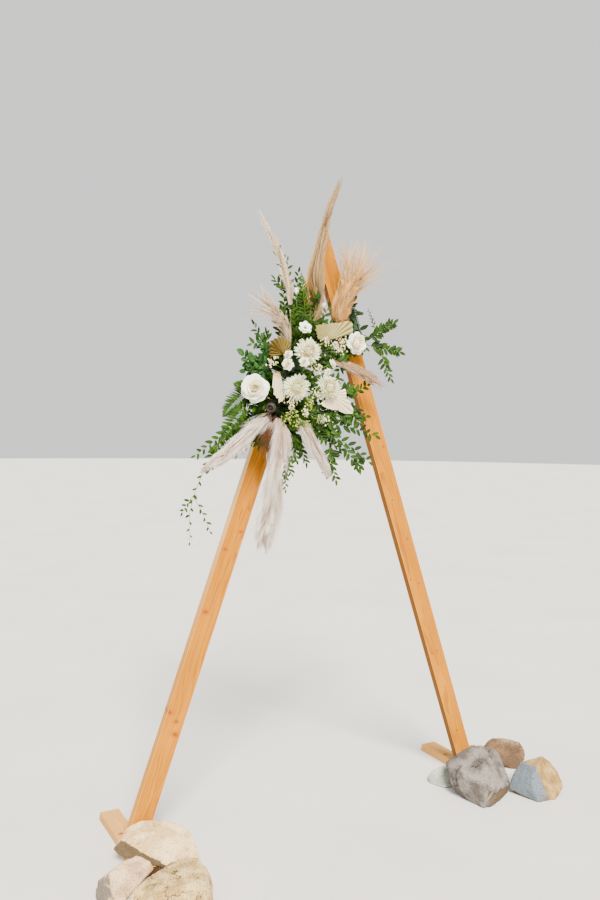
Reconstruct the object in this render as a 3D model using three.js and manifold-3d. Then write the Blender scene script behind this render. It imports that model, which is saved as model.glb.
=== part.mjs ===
// A-frame wedding arch: two stained pine boards mitred at the apex, each on a flat foot board that is
// weighted with loose stones, and dressed at the top with cut flowers, dried pampas, palm fans and leaves.
// Millimetres. +X runs along the arch, +Y to the back, +Z up. While the arch is built the origin lies on
// the ground midway between the legs, on their front plane; at the end the whole is centred on its base.
import * as THREE from 'three';
import { ConvexGeometry } from 'three/addons/geometries/ConvexGeometry.js';
import { mergeVertices } from 'three/addons/utils/BufferGeometryUtils.js';
import Module from 'manifold-3d';

const wasm = await Module();
wasm.setup();

// Frame.
const BOARD_WIDTH = 89;
const BOARD_THICKNESS = 38;
const APEX_HEIGHT = 2741;
const HALF_SPREAD = 960;
const FOOT_LENGTH = 560;
const FOOT_FRONT = { left: -196, right: -226 };
const GAP = 0.3;
const TILT = Math.atan2(HALF_SPREAD, APEX_HEIGHT);
const MITRE_WIDTH = BOARD_WIDTH / Math.cos(TILT);

// Foam cages that hold the stems, and the cable ties round cage and leg.
const CAGE = {
  left: { side: -1, level: 1970, length: 340, width: 84, depth: 74, corner: 14 },
  right: { side: 1, level: 2270, length: 200, width: 74, depth: 58, corner: 14 },
};
const TIE_WIDTH = 5;
const TIE_THICKNESS = 1.6;
const TIE_INSET = 14;

// How much further a stone's corners move out than its faces do.
const STONE_ROOM = 1.8;

// Stems and leaves.
const STEM_STEP = 55;
const STEM_BURIED = 14;
const LEAF_THICKNESS = 1.6;
const LEAF_WIDEST = 0.42;
const LATHE_SIDES = 14;
const PLUME_SIDES = 8;
const PLUME_FLATNESS = 0.62;
const FAN_THICKNESS = 2.4;
const FAN_FOLD = 0.35;
const FAN_STALK_LAP = 14;

const FRONT = new THREE.Vector3(0, -1, 0);

function v(x, y, z) {
  return new THREE.Vector3(x, y, z);
}

function finish(color, roughness) {
  return new THREE.MeshStandardMaterial({ color, roughness, metalness: 0 });
}

// A closed geometry as a solid, and a solid back as a geometry.
function toSolid(geometry) {
  geometry.deleteAttribute('normal');
  geometry.deleteAttribute('uv');
  const merged = mergeVertices(geometry, 1e-4);
  const vertProperties = new Float32Array(merged.attributes.position.array);
  const triVerts = new Uint32Array(merged.index.array);
  return new wasm.Manifold(new wasm.Mesh({ numProp: 3, vertProperties, triVerts }));
}

function toGeometry(solid) {
  const mesh = solid.getMesh();
  const geometry = new THREE.BufferGeometry();
  geometry.setAttribute('position', new THREE.BufferAttribute(mesh.vertProperties, 3));
  geometry.setIndex(new THREE.BufferAttribute(mesh.triVerts, 1));
  geometry.computeVertexNormals();
  return geometry;
}

// Whether two solids' boxes meet.
function near(one, other) {
  const a = one.boundingBox();
  const b = other.boundingBox();
  return [0, 1, 2].every((i) => a.min[i] < b.max[i] && b.min[i] < a.max[i]);
}

function join(solids) {
  return solids.reduce((whole, next) => whole.add(next));
}

// The main body of a solid that a cut may have left in several.
function mainBody(solid) {
  const bodies = solid.decompose();
  return bodies.reduce((best, next) => (next.volume() > best.volume() ? next : best));
}

// The frame's boards.

// Distance from the middle of a leg's outer edge at a level.
function outerEdge(level) {
  return HALF_SPREAD * (1 - level / APEX_HEIGHT);
}

function leg(side) {
  const bottom = BOARD_THICKNESS + GAP;
  const mitre = GAP / 2;
  const levelWhere = (offset) => APEX_HEIGHT * (1 - (offset + mitre) / HALF_SPREAD);
  const shape = new THREE.Shape([
    new THREE.Vector2(side * outerEdge(bottom), bottom),
    new THREE.Vector2(side * mitre, levelWhere(0)),
    new THREE.Vector2(side * mitre, levelWhere(MITRE_WIDTH)),
    new THREE.Vector2(side * (outerEdge(bottom) - MITRE_WIDTH), bottom),
  ]);
  const geometry = new THREE.ExtrudeGeometry(shape, { depth: BOARD_THICKNESS, bevelEnabled: false });
  geometry.rotateX(Math.PI / 2);
  geometry.translate(0, BOARD_THICKNESS, 0);
  return toSolid(geometry);
}

function foot(side, front, grow) {
  const geometry = new THREE.BoxGeometry(
    BOARD_WIDTH + 2 * grow, FOOT_LENGTH + 2 * grow, BOARD_THICKNESS + 2 * grow);
  const middle = outerEdge(BOARD_THICKNESS) - BOARD_WIDTH / 2;
  geometry.translate(side * middle, front + FOOT_LENGTH / 2, BOARD_THICKNESS / 2);
  return toSolid(geometry);
}

// The loose stones.

// A broken field stone: the blunt block between its corners, grown about its middle for its room.
function stone(corners, grow) {
  const points = corners.map(([x, y, z]) => v(x, y, z));
  const middle = points.reduce((sum, point) => sum.add(point), v(0, 0, 0)).divideScalar(points.length);
  const grown = points.map((point) => {
    const outward = point.clone().sub(middle).normalize();
    return point.clone().addScaledVector(outward, STONE_ROOM * grow);
  });
  return toSolid(new ConvexGeometry(grown));
}

// The foam cages and their ties.

function cageMiddle({ side, level }) {
  return v(side * (outerEdge(level) - MITRE_WIDTH / 2), 0, level);
}

// Turns a geometry drawn upright on a leg's front plane onto that leg.
function ontoLeg(geometry, cage) {
  const middle = cageMiddle(cage);
  geometry.rotateY(-cage.side * TILT);
  geometry.translate(middle.x, middle.y, middle.z);
  return geometry;
}

function roundedRectangle(width, height, corner) {
  const w = width / 2;
  const h = height / 2;
  const shape = new THREE.Shape();
  shape.moveTo(-w + corner, -h);
  shape.lineTo(w - corner, -h);
  shape.absarc(w - corner, -h + corner, corner, -Math.PI / 2, 0);
  shape.absarc(w - corner, h - corner, corner, 0, Math.PI / 2);
  shape.absarc(-w + corner, h - corner, corner, Math.PI / 2, Math.PI);
  shape.absarc(-w + corner, -h + corner, corner, Math.PI, 1.5 * Math.PI);
  return shape;
}

function foamCage(cage, grow) {
  const { width, length, depth, corner } = cage;
  const shape = roundedRectangle(width + 2 * grow, length + 2 * grow, corner);
  const geometry = new THREE.ExtrudeGeometry(shape, {
    depth: depth + 2 * grow, bevelEnabled: false, curveSegments: 3,
  });
  geometry.rotateX(Math.PI / 2);
  geometry.translate(0, -GAP + grow, 0);
  return toSolid(ontoLeg(geometry, cage));
}

// A cable tie: a flat band round the leg and the cage on it.
function cableTie(cage, offset, grow) {
  const side = BOARD_WIDTH / 2 + GAP - grow;
  const front = -(cage.depth + 2 * GAP) + grow;
  const back = BOARD_THICKNESS + GAP - grow;
  const thickness = TIE_THICKNESS + 2 * grow;
  const band = new THREE.Shape([
    new THREE.Vector2(-side - thickness, front - thickness),
    new THREE.Vector2(side + thickness, front - thickness),
    new THREE.Vector2(side + thickness, back + thickness),
    new THREE.Vector2(-side - thickness, back + thickness),
  ]);
  band.holes.push(new THREE.Path([
    new THREE.Vector2(-side, front),
    new THREE.Vector2(-side, back),
    new THREE.Vector2(side, back),
    new THREE.Vector2(side, front),
  ]));
  const geometry = new THREE.ExtrudeGeometry(band, { depth: TIE_WIDTH + 2 * grow, bevelEnabled: false });
  geometry.translate(0, 0, offset - TIE_WIDTH / 2 - grow);
  return toSolid(ontoLeg(geometry, cage));
}

// A point on or in a cage: along the leg, across it, and out from its front plane.
function onCage(cage, along, across, out) {
  const up = v(-cage.side * Math.sin(TILT), 0, Math.cos(TILT));
  const right = v(Math.cos(TILT), 0, cage.side * Math.sin(TILT));
  return cageMiddle(cage).addScaledVector(up, along).addScaledVector(right, across)
    .addScaledVector(FRONT, out);
}

// The buried ends of stems that go in at the cage's front, at a side or at an end.
function inFront(cage, along, across) {
  return onCage(cage, along, across, cage.depth - STEM_BURIED);
}

function inSide(cage, along, hand, out) {
  return onCage(cage, along, hand * (cage.width / 2 - STEM_BURIED), out);
}

function inEnd(cage, hand, across, out) {
  return onCage(cage, hand * (cage.length / 2 - STEM_BURIED), across, out);
}

// Stems, leaves and flower heads.

function curveOf(points) {
  return new THREE.CatmullRomCurve3(points, false, 'centripetal');
}

function stem(curve, radius, grow, from = 0, to = 1) {
  const length = curve.getLength() * (to - from);
  const steps = 2 * Math.max(1, Math.round(length / STEM_STEP / 2));
  const path = [];
  for (let i = 0; i <= steps; i += 1) {
    path.push(curve.getPointAt(from + (to - from) * i / steps));
  }
  const reach = radius + grow;
  const section = new THREE.Shape([[reach, 0], [0, reach], [-reach, 0], [0, -reach]]
    .map(([x, y]) => new THREE.Vector2(x, y)));
  return toSolid(new THREE.ExtrudeGeometry(section, {
    steps, extrudePath: curveOf(path), bevelEnabled: false,
  }));
}

// Moves a geometry drawn along +Y, facing +Z, so that it starts at a point and runs along a direction.
function aim(geometry, start, direction, facing = FRONT) {
  const along = direction.clone().normalize();
  const across = along.clone().cross(facing).normalize();
  const outward = across.clone().cross(along);
  const frame = new THREE.Matrix4().makeBasis(across, along, outward).setPosition(start);
  return geometry.applyMatrix4(frame);
}

function leaf({ start, direction, facing, length, width }, grow) {
  const half = width / 2 + grow;
  const tip = length + grow;
  const shape = new THREE.Shape([
    new THREE.Vector2(0, 0),
    new THREE.Vector2(half, LEAF_WIDEST * tip),
    new THREE.Vector2(0, tip),
    new THREE.Vector2(-half, LEAF_WIDEST * tip),
  ]);
  const depth = LEAF_THICKNESS + 2 * grow;
  const geometry = new THREE.ExtrudeGeometry(shape, { depth, bevelEnabled: false });
  geometry.translate(0, 0, -depth / 2);
  return toSolid(aim(geometry, start, direction, facing));
}

// A leafy stem: leaves in turn to either side, and one at the tip.
function spray({ path, radius, leaves, facing = FRONT }, grow) {
  const curve = curveOf(path);
  const solids = [stem(curve, radius, grow)];
  const { count, length, width, from = 0.3, spread = 0.9, taper = 0.6 } = leaves;
  for (let i = 0; i < count; i += 1) {
    const t = from + (0.97 - from) * i / (count - 1);
    const along = curve.getTangentAt(t);
    const side = along.clone().cross(facing).normalize().multiplyScalar(i % 2 ? 1 : -1);
    const direction = along.clone().multiplyScalar(Math.cos(spread))
      .addScaledVector(side, Math.sin(spread));
    const size = 1 - (1 - taper) * (i / count);
    solids.push(leaf({
      start: curve.getPointAt(t), direction, facing, length: length * size, width: width * size,
    }, grow));
  }
  solids.push(leaf({
    start: curve.getPointAt(0.98), direction: curve.getTangentAt(1), facing,
    length: length * taper, width: width * taper,
  }, grow));
  return join(solids);
}

// A turned flower head, its profile given as radius and height along the stem's direction.
function head(profile, centre, direction, grow) {
  const points = profile.map(([r, y]) => new THREE.Vector2(r === 0 ? 0 : r + grow, y * (1 + grow / 20)));
  const geometry = new THREE.LatheGeometry(points, LATHE_SIDES);
  const solid = aim(geometry, centre, direction, v(0.1, 0.2, 1));
  return toSolid(solid);
}

// Flower profiles: radius and height above the end of the stem.
const scaled = (profile, size) => profile.map(([r, y]) => [r * size, y * size]);

const ROSE = [[0, -30], [7, -30], [12, -20], [40, -14], [58, 2], [61, 15], [50, 25], [30, 32], [0, 34]];
const MUM = [[0, -20], [8, -20], [14, -12], [50, -9], [65, 6], [62, 20], [46, 33], [24, 41], [0, 44]];
const BUD = [[0, -16], [4, -15], [9, -9], [17, -2], [21, 7], [18, 16], [10, 22], [0, 24]];
const OPEN = [[0, -14], [4, -14], [8, -8], [22, 0], [30, 9], [26, 15], [12, 12], [0, 11]];
const CLOSED_BUD = [[0, -14], [3, -13], [7, -6], [11, 3], [11, 12], [7, 22], [0, 28]];
const POD = [[0, -22], [5, -20], [16, -14], [24, -2], [25, 8], [18, 18], [9, 22], [0, 22]];

function flower({ path, radius, profile, toward }, grow) {
  const curve = curveOf(path);
  const end = curve.getPointAt(1);
  const direction = toward ?? curve.getTangentAt(1);
  return join([stem(curve, radius, grow), head(profile, end, direction, grow)]);
}

// Where side stems part: the middle of the main stem's path.
function forkOf(path) {
  return curveOf(path).getPointAt(0.5);
}

// Heads on side stems that part from the first one's stem.
function branched(branches, grow) {
  const fork = forkOf(branches[0].path);
  return join(branches.map((branch, i) => flower(
    i === 0 ? branch : { ...branch, path: [fork, ...branch.path] }, grow)));
}

// Leafy side stems that part from the first one.
function branchedSpray(branches, radius, grow) {
  const fork = forkOf(branches[0].path);
  return join(branches.map((branch, i) => spray(
    { ...branch, radius, path: i === 0 ? branch.path : [fork, ...branch.path] }, grow)));
}

// Outlines of a full plume and of a slender one, each as part of its width and of its length.
const PLUME = [[0, 0], [0.35, 0.05], [0.75, 0.18], [1, 0.38], [0.92, 0.58], [0.6, 0.8], [0.25, 0.94],
  [0, 1]];
const SLENDER = [[0, 0], [0.7, 0.06], [1, 0.16], [0.78, 0.3], [0.42, 0.45], [0.3, 0.7], [0.14, 0.92],
  [0, 1]];

// A feathery plume: a turned body bent along the upper part of its stem, flattened front to back.
function plume({ path, radius, width, from, profile = PLUME }, grow) {
  const curve = curveOf(path);
  const half = width / 2 + grow;
  const outline = profile.map(([r, t]) => new THREE.Vector2(r * half, t));
  const geometry = new THREE.LatheGeometry(outline, PLUME_SIDES);
  const place = geometry.attributes.position;
  for (let i = 0; i < place.count; i += 1) {
    const t = from + (1 - from) * place.getY(i);
    const along = curve.getTangentAt(t);
    const across = along.clone().cross(FRONT).normalize();
    const outward = across.clone().cross(along);
    const point = curve.getPointAt(t).addScaledVector(across, place.getX(i))
      .addScaledVector(outward, PLUME_FLATNESS * place.getZ(i));
    place.setXYZ(i, point.x, point.y, point.z);
  }
  return join([toSolid(geometry), stem(curve, radius, grow, 0, from + 0.35 * (1 - from))]);
}

// A pleated palm leaf on its stalk: a folded blade from its cut near edge to its far edge.
function fan({ path, radius, direction, length, near: nearWidth, far: farWidth, pleats }, grow) {
  const curve = curveOf(path);
  const start = curve.getPointAt(1);
  const spread = (farWidth - nearWidth) / length;
  const root = nearWidth / spread;
  const geometry = new THREE.BoxGeometry(1, 1, 1, 2 * pleats, 2, 1);
  const place = geometry.attributes.position;
  for (let i = 0; i < place.count; i += 1) {
    const ridge = Math.round((place.getX(i) + 0.5) * 2 * pleats) % 2 ? 1 : -1;
    const turn = place.getX(i) * spread;
    const reach = root - grow + (place.getY(i) + 0.5) * (length + 2 * grow);
    const fold = FAN_FOLD * ridge * reach * spread / (2 * pleats);
    const side = Math.sign(place.getX(i)) * grow;
    const lift = fold + place.getZ(i) * (FAN_THICKNESS + 2 * grow);
    place.setXYZ(i, reach * Math.sin(turn) + side, reach * Math.cos(turn) - root, lift);
  }
  const blade = toSolid(aim(geometry, start, direction));
  const stalkEnd = start.clone().addScaledVector(direction.clone().normalize(), FAN_STALK_LAP);
  return join([blade, stem(curveOf([...path, stalkEnd]), radius, grow)]);
}

// Colours and finishes.

const PINE = finish(0xdda15f, 0.62);
const PINE_FOOT = finish(0xe0bf95, 0.68);
const FOAM = finish(0x2f4a2a, 0.9);
const TIE = finish(0x2b2b28, 0.5);
const SAND_STONE = finish(0xd6c6a4, 0.9);
const PINK_STONE = finish(0xd8c2b0, 0.9);
const TAN_STONE = finish(0xb39468, 0.9);
const OCHRE_STONE = finish(0xc9ad86, 0.9);
const GREY_STONE = finish(0xa9a5ad, 0.9);
const WHITE_PETAL = finish(0xf4f1ea, 0.7);
const CREAM_PETAL = finish(0xece0c6, 0.7);
const GREEN_SEED = finish(0xb9b98d, 0.8);
const BROWN_POD = finish(0x6b5138, 0.85);
const GOLD_FAN = finish(0xc79f58, 0.75);
const PALE_FAN = finish(0xc9c2a4, 0.75);
const CREAM_FAN = finish(0xe6dcc4, 0.75);
const PALE_PAMPAS = finish(0xe2d5c4, 0.95);
const TAN_PAMPAS = finish(0xb8905f, 0.95);
const GREY_PAMPAS = finish(0xa39684, 0.95);
const PINK_PAMPAS = finish(0xc9a184, 0.95);
const FERN = finish(0x8aa23c, 0.75);
const LEAF = finish(0x2f5a2b, 0.7);
const BLUE_LEAF = finish(0x54806a, 0.75);

const { left: L, right: R } = CAGE;

// The pieces and their places.

// The stones' corners.
const STONES = {
  left_stone_long: [PINK_STONE, [
    [-1135, -250, 0], [-1120, -300, 0], [-1060, -330, 0], [-1028, -305, 10], [-1090, -315, 45],
    [-1132, -240, 20], [-1117, -226, 60], [-1076, -246, 90], [-1005, -205, 100], [-955, -200, 105],
    [-921, -258, 100], [-908, -269, 70], [-928, -254, 40], [-938, -178, 34], [-1090, -190, 10],
  ]],
  left_stone_rough: [SAND_STONE, [
    [-1050, -450, 0], [-1000, -560, 0], [-860, -600, 0], [-770, -540, 0], [-765, -440, 0],
    [-930, -310, 15], [-800, -340, 0], [-1048, -393, 60], [-1021, -380, 80], [-954, -355, 100],
    [-889, -338, 110], [-832, -327, 120], [-761, -358, 115], [-736, -388, 95], [-725, -414, 50],
    [-960, -500, 105], [-840, -510, 120], [-780, -470, 105], [-790, -252, 63],
  ]],
  left_stone_slab: [SAND_STONE, [
    [-1003, -33, 61], [-980, -62, 38], [-948, -106, 44], [-978, -65, 110], [-927, -2, 128], [-885, -24, 150],
    [-799, -88, 160], [-743, -138, 150], [-719, -201, 130], [-724, -268, 100], [-725, -282, 70],
    [-794, -250, 60], [-850, -233, 50], [-850, -140, 145], [-860, -215, 38.3], [-930, -100, 38.3],
    [-930, -10, 38.3], [-790, -10, 60], [-790, -20, 130], [-715, -90, 70], [-720, -110, 120],
  ]],
  right_stone_big: [GREY_STONE, [
    [640, -200, 45], [640, -175, 70], [650, -135, 125], [710, -145, 180], [760, -150, 200],
    [835, -170, 210], [895, -205, 195], [920, -215, 170], [905, -300, 80], [895, -320, 55],
    [820, -345, 10], [730, -375, 0], [690, -370, 0], [680, -280, 0], [650, -240, 145],
    [655, -310, 50], [695, -380, 95], [760, -310, 175], [785, -370, 70], [700, -70, 110],
    [820, -80, 150], [900, -130, 130], [900, -120, 40], [760, -90, 0], [700, -130, 0],
    [928, -288, 36], [900, -300, 2],
  ]],
  right_stone_ridge: [OCHRE_STONE, [
    [955, -285, 90], [952, -290, 65], [965, -355, 20], [995, -285, 135], [1045, -310, 150],
    [1095, -335, 165], [1130, -355, 140], [1160, -375, 95], [1160, -410, 50], [1150, -425, 30],
    [1070, -460, 0], [965, -440, 0], [1005, -385, 145], [958, -400, 95], [952, -425, 50],
    [1010, -460, 35], [1060, -240, 100], [1140, -290, 90], [1150, -330, 0], [1060, -245, 0],
    [940, -320, 28], [912, -295, 20],
  ]],
  right_stone_back: [TAN_STONE, [
    [1027, 6, 110], [1065, -5, 150], [1132, -32, 150], [1196, -78, 130], [1200, -119, 90],
    [1190, -123, 50], [1153, -103, 0], [1075, -60, 25], [1050, 30, 0], [1040, 12, 45],
    [1060, 78, 60], [1110, 75, 100], [1182, 18, 95], [1204, -45, 85], [1070, 75, 0], [1160, 20, 0],
    [1190, -60, 0],
  ]],
  right_stone_low: [TAN_STONE, [
    [940, 62, 0], [1020, 52, 0], [1038, 110, 0], [985, 160, 0], [940, 140, 0],
    [955, 76, 86], [1010, 66, 100], [1034, 80, 84], [1025, 130, 70], [965, 140, 70], [1100, 80, 35],
  ]],
  right_stone_small: [GREY_STONE, [
    [640, 5, 15], [655, 0, 40], [710, -10, 65], [750, -10, 72], [730, -65, 40],
    [700, -120, 0], [660, -105, 5], [630, -35, 0], [700, 20, 0], [700, 14, 40], [755, 0, 0],
    [790, -80, 50], [790, -70, 0],
  ]],
};

const PIECES = [
  ['rose_large', WHITE_PETAL, (g) => flower({
    path: [inSide(L, 0, -1, 40), v(-330, -75, 1968), v(-428, -140, 1962)], radius: 3.5, profile: ROSE,
    toward: v(-0.55, -1, 0.05),
  }, g)],
  ['mum_middle', WHITE_PETAL, (g) => flower({
    path: [inFront(L, 0, 0), v(-240, -140, 1972), v(-252, -190, 1970)], radius: 3.5, profile: MUM,
    toward: v(-0.25, -1, 0),
  }, g)],
  ['mum_top', WHITE_PETAL, (g) => flower({
    path: [inFront(L, 122, 8), v(-185, -130, 2110), v(-195, -190, 2130)], radius: 3.5, profile: MUM,
    toward: v(-0.3, -1, 0.15),
  }, g)],
  ['mum_right', WHITE_PETAL, (g) => flower({
    path: [inSide(L, 15, 1, 45), v(-110, -85, 1980), v(-60, -140, 1980)], radius: 3.5, profile: MUM,
    toward: v(0.05, -1, 0),
  }, g)],
  ['white_flower_right', WHITE_PETAL, (g) => flower({
    path: [inFront(R, -52, 0), v(118, -85, 2196), v(96, -118, 2186)], radius: 3,
    profile: scaled(BUD, 2.4), toward: v(0.75, -0.65, 0),
  }, g)],
  ['lisianthus', WHITE_PETAL, (g) => branched([
    { path: [inEnd(L, 1, -18, 48), v(-178, -80, 2190), v(-195, -160, 2236)], radius: 2.5, profile: OPEN },
    { path: [v(-130, -100, 2290), v(-82, -108, 2340)], radius: 1.8, profile: CLOSED_BUD },
    { path: [v(-205, -90, 2320), v(-216, -90, 2392)], radius: 1.8, profile: CLOSED_BUD },
  ], g)],
  ['spray_rose_left', CREAM_PETAL, (g) => branched([
    {
      path: [inFront(L, 86, -26), v(-235, -140, 2066), v(-300, -195, 2068)], radius: 2.5,
      profile: scaled(BUD, 1.25),
    },
    { path: [v(-265, -165, 2095), v(-292, -185, 2112)], radius: 2, profile: scaled(BUD, 0.9) },
  ], g)],
  ['spray_rose_middle', CREAM_PETAL, (g) => flower({
    path: [inFront(L, 62, 6), v(-215, -180, 2045), v(-262, -272, 2076)], radius: 2.5, profile: BUD,
  }, g)],
  ['spray_rose_right', CREAM_PETAL, (g) => branched([
    { path: [inSide(L, 78, 1, 48), v(-100, -120, 2060), v(-58, -165, 2085)], radius: 2.5, profile: BUD },
    { path: [v(-95, -155, 2050), v(-92, -185, 2044)], radius: 2, profile: scaled(BUD, 0.75) },
  ], g)],
  ['dried_pod', BROWN_POD, (g) => flower({
    path: [inSide(L, -58, -1, 52), v(-315, -110, 1895), v(-350, -145, 1884)], radius: 3, profile: POD,
  }, g)],
  ['seed_head', GREEN_SEED, (g) => flower({
    path: [inSide(L, -96, 1, 50), v(-165, -110, 1850), v(-104, -148, 1836)], radius: 2.5,
    profile: scaled(POD, 0.8),
  }, g)],
  ['fan_golden', GOLD_FAN, (g) => fan({
    path: [inSide(L, 112, -1, 52), v(-265, -110, 2078), v(-308, -138, 2098)], radius: 2.5,
    direction: v(-8, 10, 85), length: 92, near: 8, far: 164, pleats: 9,
  }, g)],
  ['fan_pale', PALE_FAN, (g) => fan({
    path: [inEnd(L, 1, 22, 52), v(-150, -115, 2175), v(-128, -134, 2222)], radius: 2.5,
    direction: v(205, 25, 36), length: 212, near: 48, far: 72, pleats: 6,
  }, g)],
  ['fan_folded', CREAM_FAN, (g) => fan({
    path: [inSide(L, 30, -1, 60), v(-300, -130, 2020), v(-338, -160, 2032)], radius: 2.5,
    direction: v(30, 12, -140), length: 138, near: 20, far: 56, pleats: 3,
  }, g)],
  ['fan_cream', CREAM_FAN, (g) => fan({
    path: [inSide(L, -28, 1, 52), v(-130, -105, 1932), v(-78, -122, 1934)], radius: 2.5,
    direction: v(140, 5, -22), length: 142, near: 16, far: 118, pleats: 7,
  }, g)],
  ['plume_top', GREY_PAMPAS, (g) => plume({
    path: [inEnd(L, 1, 8, 24), v(-92, -95, 2340), v(-72, -78, 2485), v(-40, -66, 2675), v(-5, -60, 2800),
      v(45, -55, 2940)],
    radius: 3, width: 104, from: 0.22, profile: SLENDER,
  }, g)],
  ['plume_top_left', PALE_PAMPAS, (g) => plume({
    path: [inEnd(L, 1, -30, 24), v(-230, -85, 2270), v(-240, -80, 2405), v(-265, -75, 2525),
      v(-305, -70, 2620), v(-365, -65, 2725)],
    radius: 2.5, width: 42, from: 0.3,
  }, g)],
  ['plume_left', TAN_PAMPAS, (g) => plume({
    path: [inSide(L, 134, -1, 50), v(-250, -105, 2175), v(-295, -118, 2250), v(-360, -122, 2310),
      v(-455, -120, 2365)],
    radius: 2.5, width: 66, from: 0.2,
  }, g)],
  ['plume_top_right', TAN_PAMPAS, (g) => plume({
    path: [inFront(R, 22, -6), v(40, -105, 2285), v(58, -116, 2380), v(94, -116, 2510), v(152, -105, 2650)],
    radius: 3, width: 120, from: 0.14, profile: SLENDER,
  }, g)],
  ['plume_right', PINK_PAMPAS, (g) => plume({
    path: [inSide(L, 108, 1, 22), v(-60, -70, 2092), v(20, -105, 2086), v(120, -125, 2052),
      v(250, -128, 1995)],
    radius: 2.5, width: 56, from: 0.34,
  }, g)],
  ['plume_lower_left', PALE_PAMPAS, (g) => plume({
    path: [inSide(L, -112, -1, 40), v(-370, -125, 1832), v(-465, -150, 1780), v(-565, -165, 1705),
      v(-680, -175, 1620)],
    radius: 3, width: 78, from: 0.14,
  }, g)],
  ['plume_lower', PALE_PAMPAS, (g) => plume({
    path: [inFront(L, -132, -8), v(-285, -148, 1795), v(-315, -178, 1660), v(-350, -182, 1485),
      v(-400, -176, 1285)],
    radius: 3, width: 104, from: 0.12,
  }, g)],
  ['plume_lower_right', PALE_PAMPAS, (g) => plume({
    path: [inSide(L, -138, 1, 55), v(-168, -135, 1805), v(-120, -155, 1715), v(-75, -160, 1630),
      v(-55, -160, 1570)],
    radius: 2.5, width: 74, from: 0.16,
  }, g)],
  ['fern_left', FERN, (g) => branchedSpray([
    {
      path: [inSide(L, -84, -1, 20), v(-400, -60, 1945), v(-485, -80, 1905), v(-560, -92, 1835)],
      leaves: { count: 14, length: 62, width: 22, from: 0.3, spread: 1.2, taper: 0.4 },
    },
    {
      path: [v(-480, -100, 1850), v(-530, -105, 1790), v(-560, -105, 1730)],
      leaves: { count: 12, length: 52, width: 20, from: 0.25, spread: 1.2, taper: 0.4 },
    },
  ], 2, g)],
  ['fern_top', FERN, (g) => spray({
    path: [inEnd(L, 1, 26, 28), v(-128, -45, 2240), v(-150, -58, 2380), v(-170, -60, 2500)],
    radius: 1.8, leaves: { count: 14, length: 64, width: 24, from: 0.3, spread: 1.1, taper: 0.4 },
  }, g)],
  ['eucalyptus_left', BLUE_LEAF, (g) => spray({
    path: [inSide(L, 52, -1, 40), v(-330, -70, 2055), v(-405, -90, 2065), v(-465, -100, 2108)],
    radius: 2, leaves: { count: 8, length: 46, width: 32, from: 0.35, spread: 0.9, taper: 0.8 },
  }, g)],
  ['leaves_left_upper', LEAF, (g) => spray({
    path: [inSide(L, 92, -1, 20), v(-290, -50, 2120), v(-355, -60, 2175), v(-400, -70, 2245)],
    radius: 1.8, leaves: { count: 8, length: 42, width: 17, from: 0.35 },
  }, g)],
  ['leaves_top', LEAF, (g) => spray({
    path: [inEnd(L, 1, -8, 50), v(-200, -112, 2290), v(-252, -108, 2410), v(-292, -106, 2520),
      v(-330, -104, 2605)],
    radius: 1.8, leaves: { count: 15, length: 50, width: 20, from: 0.3 },
  }, g)],
  ['leaves_right_high', LEAF, (g) => branchedSpray([
    {
      path: [inSide(R, -34, 1, 40), v(195, -92, 2225), v(250, -102, 2258), v(315, -105, 2295)],
      leaves: { count: 9, length: 38, width: 18, from: 0.3 },
    },
    {
      path: [v(195, -105, 2290), v(168, -108, 2345)],
      leaves: { count: 6, length: 26, width: 12, from: 0.35 },
    },
  ], 1.8, g)],
  ['leaves_right_low', LEAF, (g) => branchedSpray([
    {
      path: [inSide(R, -72, 1, 40), v(205, -92, 2178), v(270, -108, 2168), v(350, -112, 2158)],
      leaves: { count: 9, length: 38, width: 18, from: 0.3 },
    },
    {
      path: [v(255, -112, 2110), v(295, -115, 2030)],
      leaves: { count: 8, length: 38, width: 18, from: 0.25 },
    },
  ], 1.8, g)],
  ['leaves_inner_right', LEAF, (g) => branchedSpray([
    {
      path: [inSide(L, -2, 1, 20), v(-60, -55, 1925), v(60, -88, 1940), v(180, -95, 2000)],
      leaves: { count: 12, length: 46, width: 22, from: 0.4 },
    },
    {
      path: [v(60, -92, 1880), v(115, -95, 1860), v(172, -96, 1852)],
      leaves: { count: 8, length: 44, width: 22, from: 0.3 },
    },
  ], 2, g)],
  ['leaves_crossing', LEAF, (g) => spray({
    path: [inSide(L, -100, 1, 22), v(-60, -92, 1822), v(80, -112, 1800), v(215, -120, 1760)],
    radius: 2, leaves: { count: 13, length: 48, width: 22, from: 0.35 },
  }, g)],
  ['leaves_hanging_right', LEAF, (g) => branchedSpray([
    {
      path: [inSide(L, -124, 1, 28), v(-90, -90, 1790), v(50, -125, 1725), v(170, -135, 1640)],
      leaves: { count: 13, length: 46, width: 20, from: 0.3 },
    },
    {
      path: [v(-40, -118, 1680), v(-5, -122, 1560)],
      leaves: { count: 9, length: 44, width: 18, from: 0.25 },
    },
  ], 2, g)],
  ['leaves_hanging_middle', LEAF, (g) => branchedSpray([
    {
      path: [inEnd(L, -1, 14, 40), v(-232, -60, 1760), v(-205, -85, 1715), v(-195, -95, 1650)],
      leaves: { count: 8, length: 36, width: 16, from: 0.4 },
    },
    {
      path: [v(-240, -80, 1655), v(-245, -85, 1520)],
      leaves: { count: 8, length: 32, width: 12, from: 0.3 },
    },
  ], 1.8, g)],
  ['leaves_lower_left', LEAF, (g) => branchedSpray([
    {
      path: [inSide(L, -140, -1, 22), v(-400, -75, 1835), v(-520, -95, 1785), v(-690, -110, 1675)],
      leaves: { count: 13, length: 44, width: 18, from: 0.3 },
    },
    {
      path: [v(-620, -88, 1640), v(-690, -82, 1470), v(-695, -80, 1305)],
      leaves: { count: 9, length: 26, width: 12, from: 0.3 },
    },
  ], 1.8, g)],
];

// Assembly.

const arch = new THREE.Group();
const taken = [];

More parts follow.
